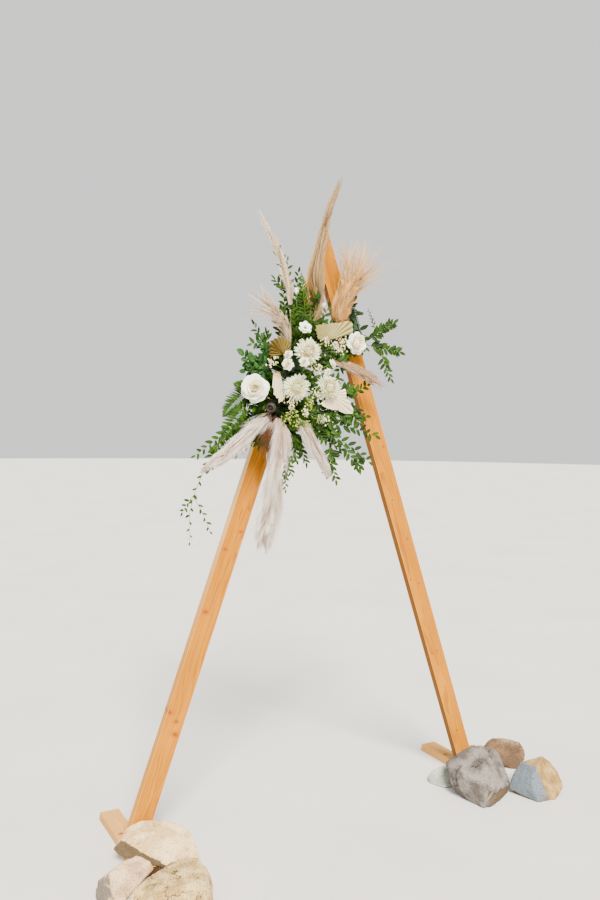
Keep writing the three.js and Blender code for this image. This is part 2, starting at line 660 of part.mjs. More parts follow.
// Adds a piece, cut back from what already stands in its place, and keeps its room for the next.
function add(name, make, material) {
  const solid = taken.filter((other) => near(other, make(0)))
    .reduce((left, other) => left.subtract(other), make(0));
  const mesh = new THREE.Mesh(toGeometry(mainBody(solid)), material.clone());
  mesh.name = name;
  arch.add(mesh);
  taken.push(make(GAP));
}

for (const [name, side] of [['left', -1], ['right', 1]]) {
  add(`${name}_foot`, (grow) => foot(side, FOOT_FRONT[name], grow), PINE_FOOT);
  add(`${name}_leg`, () => leg(side), PINE);
}
for (const [name, [material, corners]] of Object.entries(STONES)) {
  add(name, (grow) => stone(corners, grow), material);
}
for (const [name, cage] of Object.entries(CAGE)) {
  add(`${name}_foam_cage`, (grow) => foamCage(cage, grow), FOAM);
  const reach = cage.length / 2 - TIE_INSET;
  add(`${name}_tie_upper`, (grow) => cableTie(cage, reach, grow), TIE);
  add(`${name}_tie_lower`, (grow) => cableTie(cage, -reach, grow), TIE);
}
for (const [name, material, make] of PIECES) {
  add(name, make, material);
}

const box = new THREE.Box3().setFromObject(arch);
arch.position.set(-(box.min.x + box.max.x) / 2, -(box.min.y + box.max.y) / 2, -box.min.z);

export default arch;
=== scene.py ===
"""Dresses the A-frame wedding arch: boards, stones, foam, flowers, plumes, fans and leaves."""

from __future__ import annotations

import logging
import math
import random
from collections.abc import Callable, Sequence
from dataclasses import dataclass, field
from enum import Enum
from functools import partial

import bmesh
import bpy
import numpy as np
from mathutils import Matrix, Vector, noise


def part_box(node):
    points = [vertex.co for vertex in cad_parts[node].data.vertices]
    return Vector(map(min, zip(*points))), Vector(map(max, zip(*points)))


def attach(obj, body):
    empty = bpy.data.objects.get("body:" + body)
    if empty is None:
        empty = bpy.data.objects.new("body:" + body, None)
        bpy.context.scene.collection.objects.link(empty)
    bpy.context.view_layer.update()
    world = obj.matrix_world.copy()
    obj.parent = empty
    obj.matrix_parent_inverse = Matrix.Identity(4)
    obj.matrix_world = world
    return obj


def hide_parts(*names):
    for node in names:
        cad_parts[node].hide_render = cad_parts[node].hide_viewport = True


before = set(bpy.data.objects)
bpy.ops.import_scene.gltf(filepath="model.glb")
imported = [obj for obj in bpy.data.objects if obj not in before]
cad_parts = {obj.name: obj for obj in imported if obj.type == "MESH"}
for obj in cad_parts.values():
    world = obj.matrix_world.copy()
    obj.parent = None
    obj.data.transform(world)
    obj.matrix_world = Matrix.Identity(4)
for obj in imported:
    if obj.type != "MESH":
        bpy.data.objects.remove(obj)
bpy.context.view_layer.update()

log = logging.getLogger("arch")

MM = 0.001
HALF_SPREAD = 960.0
APEX = 2741.0
TILT = math.atan2(HALF_SPREAD, APEX)
BOARD_WIDTH = 89 * MM
BOARD_THICKNESS = 38 * MM
FRONT = np.array((0.0, -1.0, 0.0))
UP = np.array((0.0, 0.0, 1.0))
Point = tuple[float, float, float]
Route = tuple[np.ndarray, ...]


def arch_origin() -> np.ndarray:
    """Finds the arch's own origin.

    Returns:
        The ground point midway between the legs, on their front plane.
    """
    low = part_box("left_leg")[0]
    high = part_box("right_leg")[1]
    return np.array(((low.x + high.x) / 2, low.y, 0.0))


ORIGIN = arch_origin()


def at(point: Point) -> np.ndarray:
    """Turns a place on the arch, in millimetres from its own origin, into the frame's metres."""
    return np.array(point) * MM + ORIGIN


def unit(vector: Sequence[float]) -> np.ndarray:
    """Returns the vector at length one, or each row of an array of vectors."""
    vector = np.asarray(vector, float)
    return vector / np.linalg.norm(vector, axis=-1, keepdims=True)


def axes(along: Sequence[float], facing: Sequence[float] = FRONT) -> tuple[np.ndarray, ...]:
    """Makes the three directions of a flat thing that runs along one way and faces another.

    Args:
        along: The way it runs.
        facing: The way its face is turned.

    Returns:
        The directions across it, along it and out of its face.
    """
    along = unit(along)
    across = unit(np.cross(along, facing))
    return across, along, np.cross(across, along)


# Meshes.


@dataclass
class Shape:
    """Points and faces, with how far along and how far across the shape each point is."""

    points: np.ndarray
    corners: np.ndarray
    sizes: np.ndarray
    along: np.ndarray
    across: np.ndarray

    @classmethod
    def of(cls, bm: bmesh.types.BMesh) -> Shape:
        """Reads a bmesh and frees it.

        Args:
            bm: The finished bmesh.

        Returns:
            Its points and faces, with nothing painted on them.
        """
        bm.verts.index_update()
        points = np.array([vert.co for vert in bm.verts], float)
        corners = np.array([vert.index for face in bm.faces for vert in face.verts], int)
        sizes = np.array([len(face.verts) for face in bm.faces], int)
        bm.free()
        return cls(points, corners, sizes, np.zeros(len(points)), np.zeros(len(points)))

    def moved(self, points: np.ndarray) -> Shape:
        """Returns the same faces on other points."""
        return Shape(points, self.corners, self.sizes, self.along, self.across)


@dataclass
class Cluster:
    """Many small shapes that become one piece."""

    shapes: list[Shape] = field(default_factory=list)
    shades: list[np.ndarray] = field(default_factory=list)

    def add(self, shape: Shape, shade: float | np.ndarray = 0.5) -> None:
        """Takes in one shape, in one shade or with a shade for each of its points."""
        self.shapes.append(shape)
        self.shades.append(np.broadcast_to(np.asarray(shade, float), (len(shape.points),)))

    def build(
        self, name: str, material: bpy.types.Material, smooth: bool = True
    ) -> bpy.types.Object:
        """Joins the shapes into one object.

        Args:
            name: The piece's name.
            material: Its finish.
            smooth: Whether its faces are shaded smooth.

        Returns:
            The new object, at the origin.
        """
        mesh = bpy.data.meshes.new(name)
        points = np.concatenate([shape.points for shape in self.shapes])
        starts = np.cumsum([0] + [len(shape.points) for shape in self.shapes[:-1]])
        corners = np.concatenate([s.corners + start for s, start in zip(self.shapes, starts)])
        sizes = np.concatenate([shape.sizes for shape in self.shapes])
        mesh.vertices.add(len(points))
        mesh.vertices.foreach_set("co", points.ravel())
        mesh.loops.add(len(corners))
        mesh.loops.foreach_set("vertex_index", corners)
        mesh.polygons.add(len(sizes))
        mesh.polygons.foreach_set("loop_start", np.cumsum(sizes) - sizes)
        mesh.polygons.foreach_set("use_smooth", np.full(len(sizes), smooth))
        mesh.update(calc_edges=True)
        painted = {
            "along": np.concatenate([shape.along for shape in self.shapes]),
            "across": np.concatenate([shape.across for shape in self.shapes]),
            "shade": np.concatenate(self.shades),
        }
        for key, values in painted.items():
            layer = mesh.attributes.new(key, "FLOAT", "POINT")
            layer.data.foreach_set("value", values.astype(np.float32))
        return finished(name, mesh, material)


def finished(name: str, mesh: bpy.types.Mesh, material: bpy.types.Material) -> bpy.types.Object:
    """Puts a mesh into the scene with its finish.

    Args:
        name: The piece's name.
        mesh: Its mesh, already in place.
        material: Its finish.

    Returns:
        The new object.
    """
    mesh.materials.append(material)
    made = bpy.data.objects.new(name, mesh)
    bpy.context.scene.collection.objects.link(made)
    return made


def stands_for(piece: bpy.types.Object, slot: str, *nodes: str) -> bpy.types.Object:
    """Makes a piece ride on the arch in place of CAD nodes.

    Args:
        piece: The finished piece.
        slot: The record's material slot; it is not used.
        nodes: The nodes that it stands for, if any.

    Returns:
        The piece.
    """
    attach(piece, "root")
    if nodes:
        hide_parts(*nodes)
    log.info("%s: %d faces", piece.name, len(piece.data.polygons))
    return piece


def slab(columns: int, rows: int) -> Shape:
    """Makes a flat sheet: -1 to 1 across, 0 to 1 along, and -0.5 to 0.5 through its thickness.

    Args:
        columns: Its faces across.
        rows: Its faces along.

    Returns:
        The sheet, painted with how far along and across each point is.
    """
    bm = bmesh.new()
    bmesh.ops.create_grid(bm, x_segments=columns, y_segments=rows, size=1.0)
    bmesh.ops.solidify(bm, geom=bm.faces[:], thickness=1.0)
    bmesh.ops.recalc_face_normals(bm, faces=bm.faces[:])
    shape = Shape.of(bm)
    through = shape.points[:, 2]
    shape.points[:, 2] = through - (through.max() + through.min()) / 2
    shape.points[:, 1] = (shape.points[:, 1] + 1) / 2
    shape.along = shape.points[:, 1].copy()
    shape.across = shape.points[:, 0].copy()
    return shape


Surface = Callable[[np.ndarray, np.ndarray], np.ndarray]
SLOPE_STEP = 0.004


def laid(sheet: Shape, surface: Surface, thickness: float) -> Shape:
    """Lays a sheet on a surface.

    Args:
        sheet: The flat sheet.
        surface: Gives the points for places across and along.
        thickness: The sheet's real thickness.

    Returns:
        The bent sheet.
    """
    across, along = sheet.points[:, 0], sheet.points[:, 1]
    sideways = surface(across + SLOPE_STEP, along) - surface(across - SLOPE_STEP, along)
    onward = surface(across, along + SLOPE_STEP) - surface(across, along - SLOPE_STEP)
    normal = np.cross(sideways, onward)
    normal /= np.maximum(np.linalg.norm(normal, axis=1, keepdims=True), 1e-12)
    return sheet.moved(surface(across, along) + normal * sheet.points[:, 2:3] * thickness)


def rod(sides: int, tip: float, rings: int) -> Shape:
    """Makes a straight rod on the Z axis, one unit long and one unit in radius at its start.

    Args:
        sides: How many sides it has.
        tip: Its radius at its end; one that ends in a point is cut into triangles.
        rings: How many stretches it has.

    Returns:
        The rod, closed at its ends.
    """
    bm = bmesh.new()
    bmesh.ops.create_cone(bm, cap_ends=True, segments=sides, radius1=1.0, radius2=tip, depth=1.0)
    bmesh.ops.translate(bm, verts=bm.verts[:], vec=(0, 0, 0.5))
    for ring in range(1, rings):
        geometry = bm.verts[:] + bm.edges[:] + bm.faces[:]
        height = (0, 0, ring / rings)
        bmesh.ops.bisect_plane(bm, geom=geometry, plane_co=height, plane_no=(0, 0, 1))
    if not tip:
        bmesh.ops.triangulate(bm, faces=bm.faces[:])
    return Shape.of(bm)


ROD = rod(6, 1.0, 8)
THREAD = rod(3, 0.0, 3)


def copies(one: Shape, points: np.ndarray) -> Shape:
    """Makes one shape of many bent copies of another.

    Args:
        one: The shape, on the Z axis.
        points: The points of each copy.

    Returns:
        All the copies as one shape.
    """
    count, size = points.shape[:2]
    corners = (one.corners + np.arange(count)[:, None] * size).ravel()
    along = np.tile(one.points[:, 2], count)
    return Shape(points.reshape(-1, 3), corners, np.tile(one.sizes, count), along, 0 * along)


class Path:
    """A smooth curve through a few places."""

    SAMPLES = 16
    REACH = 0.02

    def __init__(self, places: Sequence[np.ndarray]) -> None:
        """Samples the curve.

        Args:
            places: The places that it runs through.
        """
        # Each span bends by its neighbours too, so both ends are carried on straight.
        knots = np.array([2 * places[0] - places[1], *places, 2 * places[-1] - places[-2]])
        t = np.linspace(0, 1, self.SAMPLES, endpoint=False)[:, None]
        spans = []
        for a, b, c, d in zip(knots, knots[1:], knots[2:], knots[3:]):
            bend = (2 * a - 5 * b + 4 * c - d) * t**2 + (3 * (b - c) + d - a) * t**3
            spans.append(b + ((c - a) * t + bend) / 2)
        self.points = np.concatenate([*spans, knots[-2:-1]])
        steps = np.linalg.norm(np.diff(self.points, axis=0), axis=1)
        self.length = float(steps.sum())
        self.stations = np.concatenate([[0], np.cumsum(steps)]) / self.length

    def at(self, t: float | np.ndarray) -> np.ndarray:
        """Returns the places at parts of the whole length."""
        return np.stack([np.interp(t, self.stations, self.points[:, i]) for i in range(3)], axis=-1)

    def way(self, t: float | np.ndarray) -> np.ndarray:
        """Returns the directions at parts of the whole length."""
        t = np.asarray(t)
        return unit(self.at(np.minimum(t + self.REACH, 1)) - self.at(np.maximum(t - self.REACH, 0)))


def tube(path: Path, radii: Sequence[float], start: float = 0.0, end: float = 1.0) -> Shape:
    """Makes a round stem along part of a path.

    Args:
        path: The path.
        radii: Its radii at equal stretches from start to end.
        start: Where it starts, as part of the path.
        end: Where it ends.

    Returns:
        The stem, closed at both ends.
    """
    t = ROD.points[:, 2]
    stations = start + (end - start) * t
    ways = path.way(stations)
    side = unit(np.cross(ways, (0.05, -1.0, 0.08)))
    other = np.cross(ways, side)
    section = side * ROD.points[:, 0:1] + other * ROD.points[:, 1:2]
    widths = np.interp(t, np.linspace(0, 1, len(radii)), radii)[:, None]
    shape = ROD.moved(path.at(stations) + section * widths)
    shape.along = t.copy()
    return shape


# Finishes.

Value = float | tuple[float, ...] | bpy.types.NodeSocket
Add = Callable[..., bpy.types.NodeOutputs]


def linear(colour: str) -> tuple[float, float, float, float]:
    """Turns an sRGB colour into the linear one that the shaders take.

    Args:
        colour: The colour as hex digits after a hash sign.

    Returns:
        Its red, green, blue and alpha.
    """
    parts = (int(colour[i : i + 2], 16) / 255 for i in (1, 3, 5))
    red, green, blue = (c / 12.92 if c <= 0.04045 else ((c + 0.055) / 1.055) ** 2.4 for c in parts)
    return red, green, blue, 1.0


def node(
    tree: bpy.types.NodeTree, kind: str, inputs: dict[int | str, Value], **settings: object
) -> bpy.types.NodeOutputs:
    """Adds a node with its settings and links.

    Args:
        tree: The material's node tree.
        kind: The node's kind, without the ShaderNode at its start.
        inputs: A number, a colour or another node's output for each input.
        settings: The node's own settings.

    Returns:
        The new node's outputs.
    """
    made = tree.nodes.new("ShaderNode" + kind)
    for key, value in settings.items():
        setattr(made, key, value)
    for key, value in inputs.items():
        if isinstance(value, bpy.types.NodeSocket):
            tree.links.new(value, made.inputs[key])
        else:
            made.inputs[key].default_value = value
    return made.outputs


@dataclass(frozen=True)
class Coat:
    """A colour laid over the ones below it, more and more as a value runs from start to end."""

    colour: str
    value: Value
    start: float = 0.0
    end: float = 1.0
    most: Value = 1.0
    soft: bool = False


Pattern = tuple[str, list[Coat], Value]


@dataclass(frozen=True)
class Finish:
    """What every finish has: its name, its gloss, its relief, its sheen and how light enters it."""

    name: str
    roughness: float
    relief: float = 0.3
    depth: float = 1.0 * MM
    sheen: float = 0.0
    glow: float = field(default=0.0, kw_only=True)
    shine: float = field(default=0.5, kw_only=True)

    GLOW_DEPTH = 6 * MM

    def pattern(self, add: Add) -> Pattern:
        """Returns the ground colour, the coats over it and the height of the surface."""
        raise NotImplementedError

    def material(self) -> bpy.types.Material:
        """Makes the material.

        Returns:
            The material, its pattern wired to one shader.
        """
        made = bpy.data.materials.new(self.name)
        made.use_nodes = True
        made.node_tree.nodes.clear()
        add = partial(node, made.node_tree)
        ground, coats, height = self.pattern(add)
        colour = linear(ground)
        for coat in coats:
            fade = {"Value": coat.value, "From Min": coat.start, "From Max": coat.end}
            fade["To Max"] = coat.most
            curve = "SMOOTHSTEP" if coat.soft else "LINEAR"
            share = add("MapRange", fade, interpolation_type=curve)[0]
            colour = add("Mix", {0: share, 6: colour, 7: linear(coat.colour)}, data_type="RGBA")[2]
        bump = add("Bump", {"Strength": self.relief, "Distance": self.depth, "Height": height})
        skin = {
            "Base Color": colour,
            "Roughness": self.roughness,
            "Normal": bump[0],
            "Sheen Weight": self.sheen,
            "Specular IOR Level": self.shine,
            "Subsurface Weight": self.glow,
            "Subsurface Scale": self.GLOW_DEPTH,
        }
        shader = add("BsdfPrincipled", skin)
        add("OutputMaterial", {"Surface": shader[0]})
        return made


@dataclass(frozen=True)
class Knot:
    """A knot in a board: where it is on the front face, from the board's middle, and its radius."""

    across: float
    along: float
    radius: float


@dataclass(frozen=True)
class StainedPine(Finish):
    """Sawn pine boards under a honey stain: growth rings, fine fibres, knots and pale worn edges.

    The stain is deep in the pores and thin on the edges, so the grain shows darker and the arrises
    lighter. A leg's outer narrow side has painted sky light, paler higher up, and its inner one
    painted shade; the sawn ends take the stain darker and carry painted shade on top of it.
    """

    light: str = "#C07E04"
    dark: str = "#8F4E00"
    middle: Point = (0.0, 0.0, 0.0)
    turn: Point = (0.0, 0.0, 0.0)
    pith: tuple[float, float] = (14.0, 62.0)
    knots: tuple[Knot, ...] = ()
    # Which narrow side faces out: that side takes the painted sky light and the other the painted
    # shade.
    outward: float = 0.0
    # The sawn ends' colour: end grain that takes the stain darker, with painted shade added.
    end_grain: str = "#50300E"

    RING_GAP = 5.5 * MM
    FIBRE = (1.6 * MM, 1.6 * MM, 70 * MM)
    BLOTCHES = (9, 9, 3)
    DRIFT = (14, 14, 2.2)
    DRIFT_REACH = 35 * MM
    LATE_WOOD = 0.45
    RING_SHARE, FIBRE_SHARE, BLOTCH_SHARE = 0.34, 0.55, 0.75
    STAIN_FADE = (0.42, 1.15)
    KNOT_SHAPE = (1.8, 4.0, 1.1)
    KNOT_HALO = "#A4560A"
    HALO_FADE = (2.6, 0.8, 0.7)
    KNOT_CORE = "#803F0A"
    CORE_FADE = (1.1, 0.5, 0.8)
    END_FADE = (0.7, 0.9, 0.92)
    # Painted light on the narrow sides: sky light on the outer one, shade on the inner one.
    BLEACHED = "#E8CC90"
    FULL_STAIN = "#744606"
    WORN_EDGE = "#CC9440"
    EDGE = 3.0 * MM
    SKIN = (0.4 * MM, 0.1 * MM)
    BLEACH_FROM, BLEACH_TO = 0.7, 1.7
    BLEACH_LEAST, BLEACH_MOST = 0.1, 0.6
    FULL_STAIN_SHARE = 0.85

    def pattern(self, add: Add) -> Pattern:
        """Draws the grain along the board.

        Args:
            add: Adds a node to the material.

        Returns:
            The ground colour, the coats over it and the height of the surface.
        """
        place = add("TexCoord", {})["Object"]
        seat = {"Vector": place, "Location": self.middle, "Rotation": self.turn}
        board = add("Mapping", seat, vector_type="TEXTURE")[0]
        # The rings run round the log's pith, bent by a slow drift of the grain.
        slow = add("Mapping", {"Vector": board, "Scale": self.DRIFT})[0]
        drift = add("TexNoise", {"Vector": slow, "Scale": 1.0, "Detail": 2.0})["Color"]
        centred = add("VectorMath", {0: drift, 1: (0.5, 0.5, 0.5)}, operation="SUBTRACT")[0]
        shift = add("VectorMath", {0: centred, "Scale": self.DRIFT_REACH}, operation="SCALE")[0]
        bent = add("VectorMath", {0: board, 1: shift}, operation="ADD")[0]
        pith = (-self.pith[0] * MM, -self.pith[1] * MM, 0.0)
        round_pith = add("Mapping", {"Vector": bent, "Location": pith})[0]
        gaps = {"Vector": round_pith, "Scale": math.tau / (20 * self.RING_GAP), "Distortion": 0.0}
        kinds = {"wave_type": "RINGS", "rings_direction": "Z", "wave_profile": "SAW"}
        rings = add("TexWave", gaps, **kinds)["Fac"]
        late = add("MapRange", {"Value": rings, "From Min": self.LATE_WOOD, "From Max": 1.0})[0]
        ringed = add("Math", {0: late, 1: self.RING_SHARE}, operation="MULTIPLY")[0]
        # Fine fibres and broad blotches take the stain unevenly.
        marks = []
        for scale in (tuple(1 / size for size in self.FIBRE), self.BLOTCHES):
            spread = add("Mapping", {"Vector": board, "Scale": scale})[0]
            marks.append(add("TexNoise", {"Vector": spread, "Scale": 1.0, "Detail": 3.0})["Fac"])
        deep = ringed
        for mark, share in zip(marks, (self.FIBRE_SHARE, self.BLOTCH_SHARE)):
            deep = add("Math", {0: mark, 1: share, 2: deep}, operation="MULTIPLY_ADD")[0]
        coats = [Coat(self.dark, deep, *self.STAIN_FADE)]
        # A knot is a dark core in a softer halo, long and narrow as the grain flows past it.
        wide, deep_in, long = self.KNOT_SHAPE
        for knot in self.knots:
            where = {
                "Vector": bent,
                "Location": (knot.across * MM, 0.0, knot.along * MM),
                "Scale": (wide * knot.radius * MM, deep_in, long * knot.radius * MM),
            }
            spot = add("Mapping", where, vector_type="TEXTURE")[0]
            far = add("VectorMath", {0: spot}, operation="LENGTH")["Value"]
            coats.append(Coat(self.KNOT_HALO, far, *self.HALO_FADE, soft=True))
            coats.append(Coat(self.KNOT_CORE, far, *self.CORE_FADE, soft=True))
        height = add("Math", {0: marks[0], 1: ringed}, operation="SUBTRACT")[0]
        return self.light, coats + self.weather(add, board), height

    def weather(self, add: Add, board: Value) -> list[Coat]:
        """Darkens the sawn ends, paints light and shade on the narrow sides, and wears the edges.

        Args:
            add: Adds a node to the material.
            board: The place on the board's own axes.

        Returns:
            The coats that go over the grain.
        """
        sides = add("SeparateXYZ", {0: board})
        worn: Value = 1.0
        for side, half in ((0, BOARD_WIDTH / 2), (1, BOARD_THICKNESS / 2)):
            off = add("Math", {0: sides[side]}, operation="ABSOLUTE")[0]
            near = {"Value": off, "From Min": half - self.EDGE, "From Max": half}
            edge = add("MapRange", near, interpolation_type="SMOOTHSTEP")[0]
            worn = add("Math", {0: worn, 1: edge}, operation="MULTIPLY")[0]
        normal = add("NewGeometry", {})["Normal"]
        faced = add("Mapping", {"Vector": normal, "Rotation": self.turn}, vector_type="TEXTURE")[0]
        lengthwise = add("SeparateXYZ", {0: faced})[2]
        cut = add("Math", {0: lengthwise}, operation="ABSOLUTE")[0]
        # The sawn ends are darker: end grain takes more stain, and the dark also paints shade.
        coats = [Coat(self.end_grain, cut, *self.END_FADE)]
        # Painted light and shade: the outer narrow side is painted with sky light, more of it
        # higher up, and the inner one is painted darker as shade.
        side = add("Math", {0: sides[0], 1: self.outward}, operation="MULTIPLY")[0]
        rise = {"Value": sides[2], "From Min": self.BLEACH_FROM, "From Max": self.BLEACH_TO}
        rise |= {"To Min": self.BLEACH_LEAST, "To Max": self.BLEACH_MOST}
        bleached = add("MapRange", rise, interpolation_type="SMOOTHSTEP")[0]
        stains = (1, self.BLEACHED, bleached), (-1, self.FULL_STAIN, self.FULL_STAIN_SHARE)
        for turned, stain, most in stains:
            inner, outer = (turned * (BOARD_WIDTH / 2 - skin) for skin in self.SKIN)
            coats.append(Coat(stain, side, inner, outer, most))
        return coats + [Coat(self.WORN_EDGE, worn)]


@dataclass(frozen=True)
class FieldStone(Finish):
    """Broken field stone: mottled, gritty, cracked, and with painted shading on faces turned one
    way.

    Lime, lichen and iron give the eye soft patches some centimetres wide under a fine grit.
    """

    tone: str = "#D6C6A4"
    patch: str = "#BFA980"
    pit: str = "#6E6150"
    # The second tone: painted shading on the faces turned toward one way.
    turned: str = "#D6C6A4"
    toward: Point = (0.0, 0.0, -1.0)
    turned_from: float = 2.0
    cracks: float = 0.0

    PATCH_SIZE = 60 * MM
    GRIT_SIZE = 5 * MM
    CRACK_SPACING = 110 * MM
    CRACK_STRAY = 0.12
    CRACK_WIDTH = 0.022
    CRACK_DEPTH = -2.0
    TURNED_WIDTH = 0.16
    RAGGED = 0.35
    CRACKED_FROM, CRACKED_TO = 0.47, 0.6
    PATCH_FADE = (0.4, 0.6)
    PIT_FADE = (0.5, 0.32, 0.75)

    def pattern(self, add: Add) -> Pattern:
        """Draws the patches, the grit and the cracks.

        Args:
            add: Adds a node to the material.

        Returns:
            The ground colour, the coats over it and the height of the surface.
        """
        place = add("TexCoord", {})["Object"]
        patches = add("TexNoise", {"Vector": place, "Scale": 1 / self.PATCH_SIZE, "Detail": 5.0})
        fine = {"Vector": place, "Scale": 1 / self.GRIT_SIZE, "Detail": 4.0}
        grit = add("TexNoise", fine)["Fac"]
        # Painted shading: faces turned toward one way take a second tone, painted shade on most
        # stones and painted light on one stone's top.
        normal = add("NewGeometry", {})["Normal"]
        both = {0: normal, 1: tuple(unit(self.toward))}
        facing = add("VectorMath", both, operation="DOT_PRODUCT")["Value"]
        ragged = add("Math", {0: grit, 1: self.RAGGED, 2: facing}, operation="MULTIPLY_ADD")[0]
        # Cracks run between the cells of a warped pattern, and only in some of the patches.
        strays = {0: self.CRACK_STRAY, 4: place, 5: patches["Color"]}
        strayed = add("Mix", strays, data_type="VECTOR")[1]
        cell = {"Vector": strayed, "Scale": 1 / self.CRACK_SPACING}
        edge = add("TexVoronoi", cell, feature="DISTANCE_TO_EDGE")["Distance"]
        often = {"From Min": self.CRACKED_FROM, "From Max": self.CRACKED_TO, "To Max": self.cracks}
        broken = add("MapRange", {"Value": patches["Fac"]} | often)[0]
        thin = {"Value": edge, "From Min": self.CRACK_WIDTH, "From Max": 0.0, "To Max": broken}
        crack = add("MapRange", thin)[0]
        cleft = {0: crack, 1: self.CRACK_DEPTH, 2: grit}
        height = add("Math", cleft, operation="MULTIPLY_ADD")[0]
        coats = [
            Coat(self.patch, patches["Fac"], *self.PATCH_FADE),
            Coat(self.turned, ragged, self.turned_from, self.turned_from + self.TURNED_WIDTH),
            Coat(self.pit, grit, *self.PIT_FADE),
            Coat(self.pit, crack),
        ]
        return self.tone, coats, height


@dataclass(frozen=True)
class Leaf(Finish):
    """Leaves, petals and dried palm: from one tone to another, with veins and a midrib.

    Every leaf on a real stem differs a little, so each has its own shade, and base and rim differ;
    on the palm fans the shade also carries painted shade in the pleats' valleys.
    """

    dark: str = "#2C4A26"
    light: str = "#5E8245"
    rib: str = "#8FA668"
    rib_width: float = 0.1
    base: str = "#2C4A26"
    base_reach: float = 0.0
    rim: str = "#5E8245"
    rim_share: float = 0.0
    veins: float = 6.0

    MOTTLE_SIZE = 9 * MM
    MOTTLE_SHARE = 0.5
    TONE_FADE = (0.2, 1.3)
    RIM_FROM = 0.82

    def pattern(self, add: Add) -> Pattern:
        """Draws the tone, the midrib, the base, the rim and the veins.

        Args:
            add: Adds a node to the material.

        Returns:
            The ground colour, the coats over it and the height of the surface.
        """
        painted = ("shade", "along", "across")
        shade, along, across = (add("Attribute", {}, attribute_name=key)["Fac"] for key in painted)
        place = add("TexCoord", {})["Object"]
        soft = {"Vector": place, "Scale": 1 / self.MOTTLE_SIZE, "Detail": 2.0}
        mottle = add("TexNoise", soft)["Fac"]
        tone = add("Math", {0: mottle, 1: self.MOTTLE_SHARE, 2: shade}, operation="MULTIPLY_ADD")[0]
        off = add("Math", {0: across}, operation="ABSOLUTE")[0]
        wave = add("Math", {0: off, 1: self.veins}, operation="MULTIPLY")[0]
        vein = add("Math", {0: wave, 1: 1.0}, operation="PINGPONG")[0]
        coats = [
            Coat(self.light, tone, *self.TONE_FADE),
            Coat(self.rib, off, self.rib_width, 0.0),
            Coat(self.base, along, self.base_reach, 0.0),
            Coat(self.rim, along, self.RIM_FROM, 1.0, self.rim_share),
        ]
        return self.dark, coats, add("Math", {0: vein, 1: mottle}, operation="ADD")[0]


@dataclass(frozen=True)
class Feather(Finish):
    """Dried pampas: thousands of dull hairs, each its own tone, paler towards their ends; the
    darker roots are partly painted shade deep in the plume.

    The hairs scatter light between them, so the plume looks soft and has no highlight.
    """

    root: str = "#B08A5C"
    tip: str = "#E8D9C4"
    streak: str = "#C9A58C"

    TIP_FADE = (0.0, 0.7)
    STREAK_FADE = (0.55, 1.0, 0.8)

    def pattern(self, add: Add) -> Pattern:
        """Draws each hair's tone from its root to its end.

        Args:
            add: Adds a node to the material.

        Returns:
            The ground colour, the coats over it and the height of the surface.
        """
        painted = ("shade", "along")
        shade, along = (add("Attribute", {}, attribute_name=key)["Fac"] for key in painted)
        # Paler towards the ends: the hairs' own colour, with painted shade at the roots deep in the
        # plume.
        paler = Coat(self.tip, along, *self.TIP_FADE)
        return self.root, [paler, Coat(self.streak, shade, *self.STREAK_FADE)], shade


@dataclass(frozen=True)
class Speckled(Finish):
    """Moulded plastic, wet floral foam, seed cases: one tone, with a fine speckle in relief."""

    tone: str = "#30402A"
    speck: str = "#22301E"
    grain: float = 2.0

    SPECK_FADE = (0.4, 0.65)

    def pattern(self, add: Add) -> Pattern:
        """Draws the speckle.

        Args:
            add: Adds a node to the material.

        Returns:
            The ground colour, the coats over it and the height of the surface.
        """
        place = add("TexCoord", {})["Object"]
        fine = {"Vector": place, "Scale": 1 / (self.grain * MM), "Detail": 3.0}
        speck = add("TexNoise", fine)["Fac"]
        return self.tone, [Coat(self.speck, speck, *self.SPECK_FADE)], speck


# Timber, stones and foam.

MERGED = 1e-5
TIES = ("left_tie_upper", "left_tie_lower", "right_tie_upper", "right_tie_lower")


def solid_of(name: str) -> bmesh.types.BMesh:
    """Copies a CAD node's solid.

    Args:
        name: The node.

    Returns:
        A bmesh whose loose triangles are merged into plain faces.
    """
    bm = bmesh.new()
    bm.from_mesh(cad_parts[name].data)
    bmesh.ops.remove_doubles(bm, verts=bm.verts[:], dist=MERGED)
    flat = math.radians(1)
    bmesh.ops.dissolve_limit(bm, angle_limit=flat, verts=bm.verts[:], edges=bm.edges[:])
    return bm


def ease(
    bm: bmesh.types.BMesh, edges: list, offset: float, segments: int = 2, clamp: bool = False
) -> None:
    """Rounds edges of a solid.

    Args:
        bm: The solid.
        edges: The edges.
        offset: How far the rounding reaches from each edge.
        segments: How many faces it has.
        clamp: Whether it stops where it meets another one.
    """
    shape = {"affect": "EDGES", "profile": 0.5, "material": -1, "clamp_overlap": clamp}
    bmesh.ops.bevel(bm, geom=edges, offset=offset, segments=segments, **shape)


def mesh_of(name: str, bm: bmesh.types.BMesh) -> bpy.types.Mesh:
    """Turns a bmesh into a mesh and frees it.

    Args:
        name: The mesh's name.
        bm: The finished bmesh.

    Returns:
        The mesh.
    """
    mesh = bpy.data.meshes.new(name)
    bm.to_mesh(mesh)
    bm.free()
    return mesh


@dataclass
class Board:
    """A sawn board with eased edges."""

    replaced: str
    slot: str
    finish: StainedPine
    eased: float = 3 * MM

    def build(self) -> bpy.types.Object:
        """Rounds every edge but those of the mitre joint.

        Returns:
            The board's piece.
        """
        bm = solid_of(self.replaced)
        joint = [vert for vert in bm.verts if abs(vert.co.x - ORIGIN[0]) < MM]
        edges = [edge for edge in bm.edges if not any(vert in joint for vert in edge.verts)]
        ease(bm, edges, self.eased, segments=3)
        mesh = mesh_of(self.replaced, bm)
        piece = finished("board_" + self.replaced, mesh, self.finish.material())
        return stands_for(piece, self.slot, self.replaced)


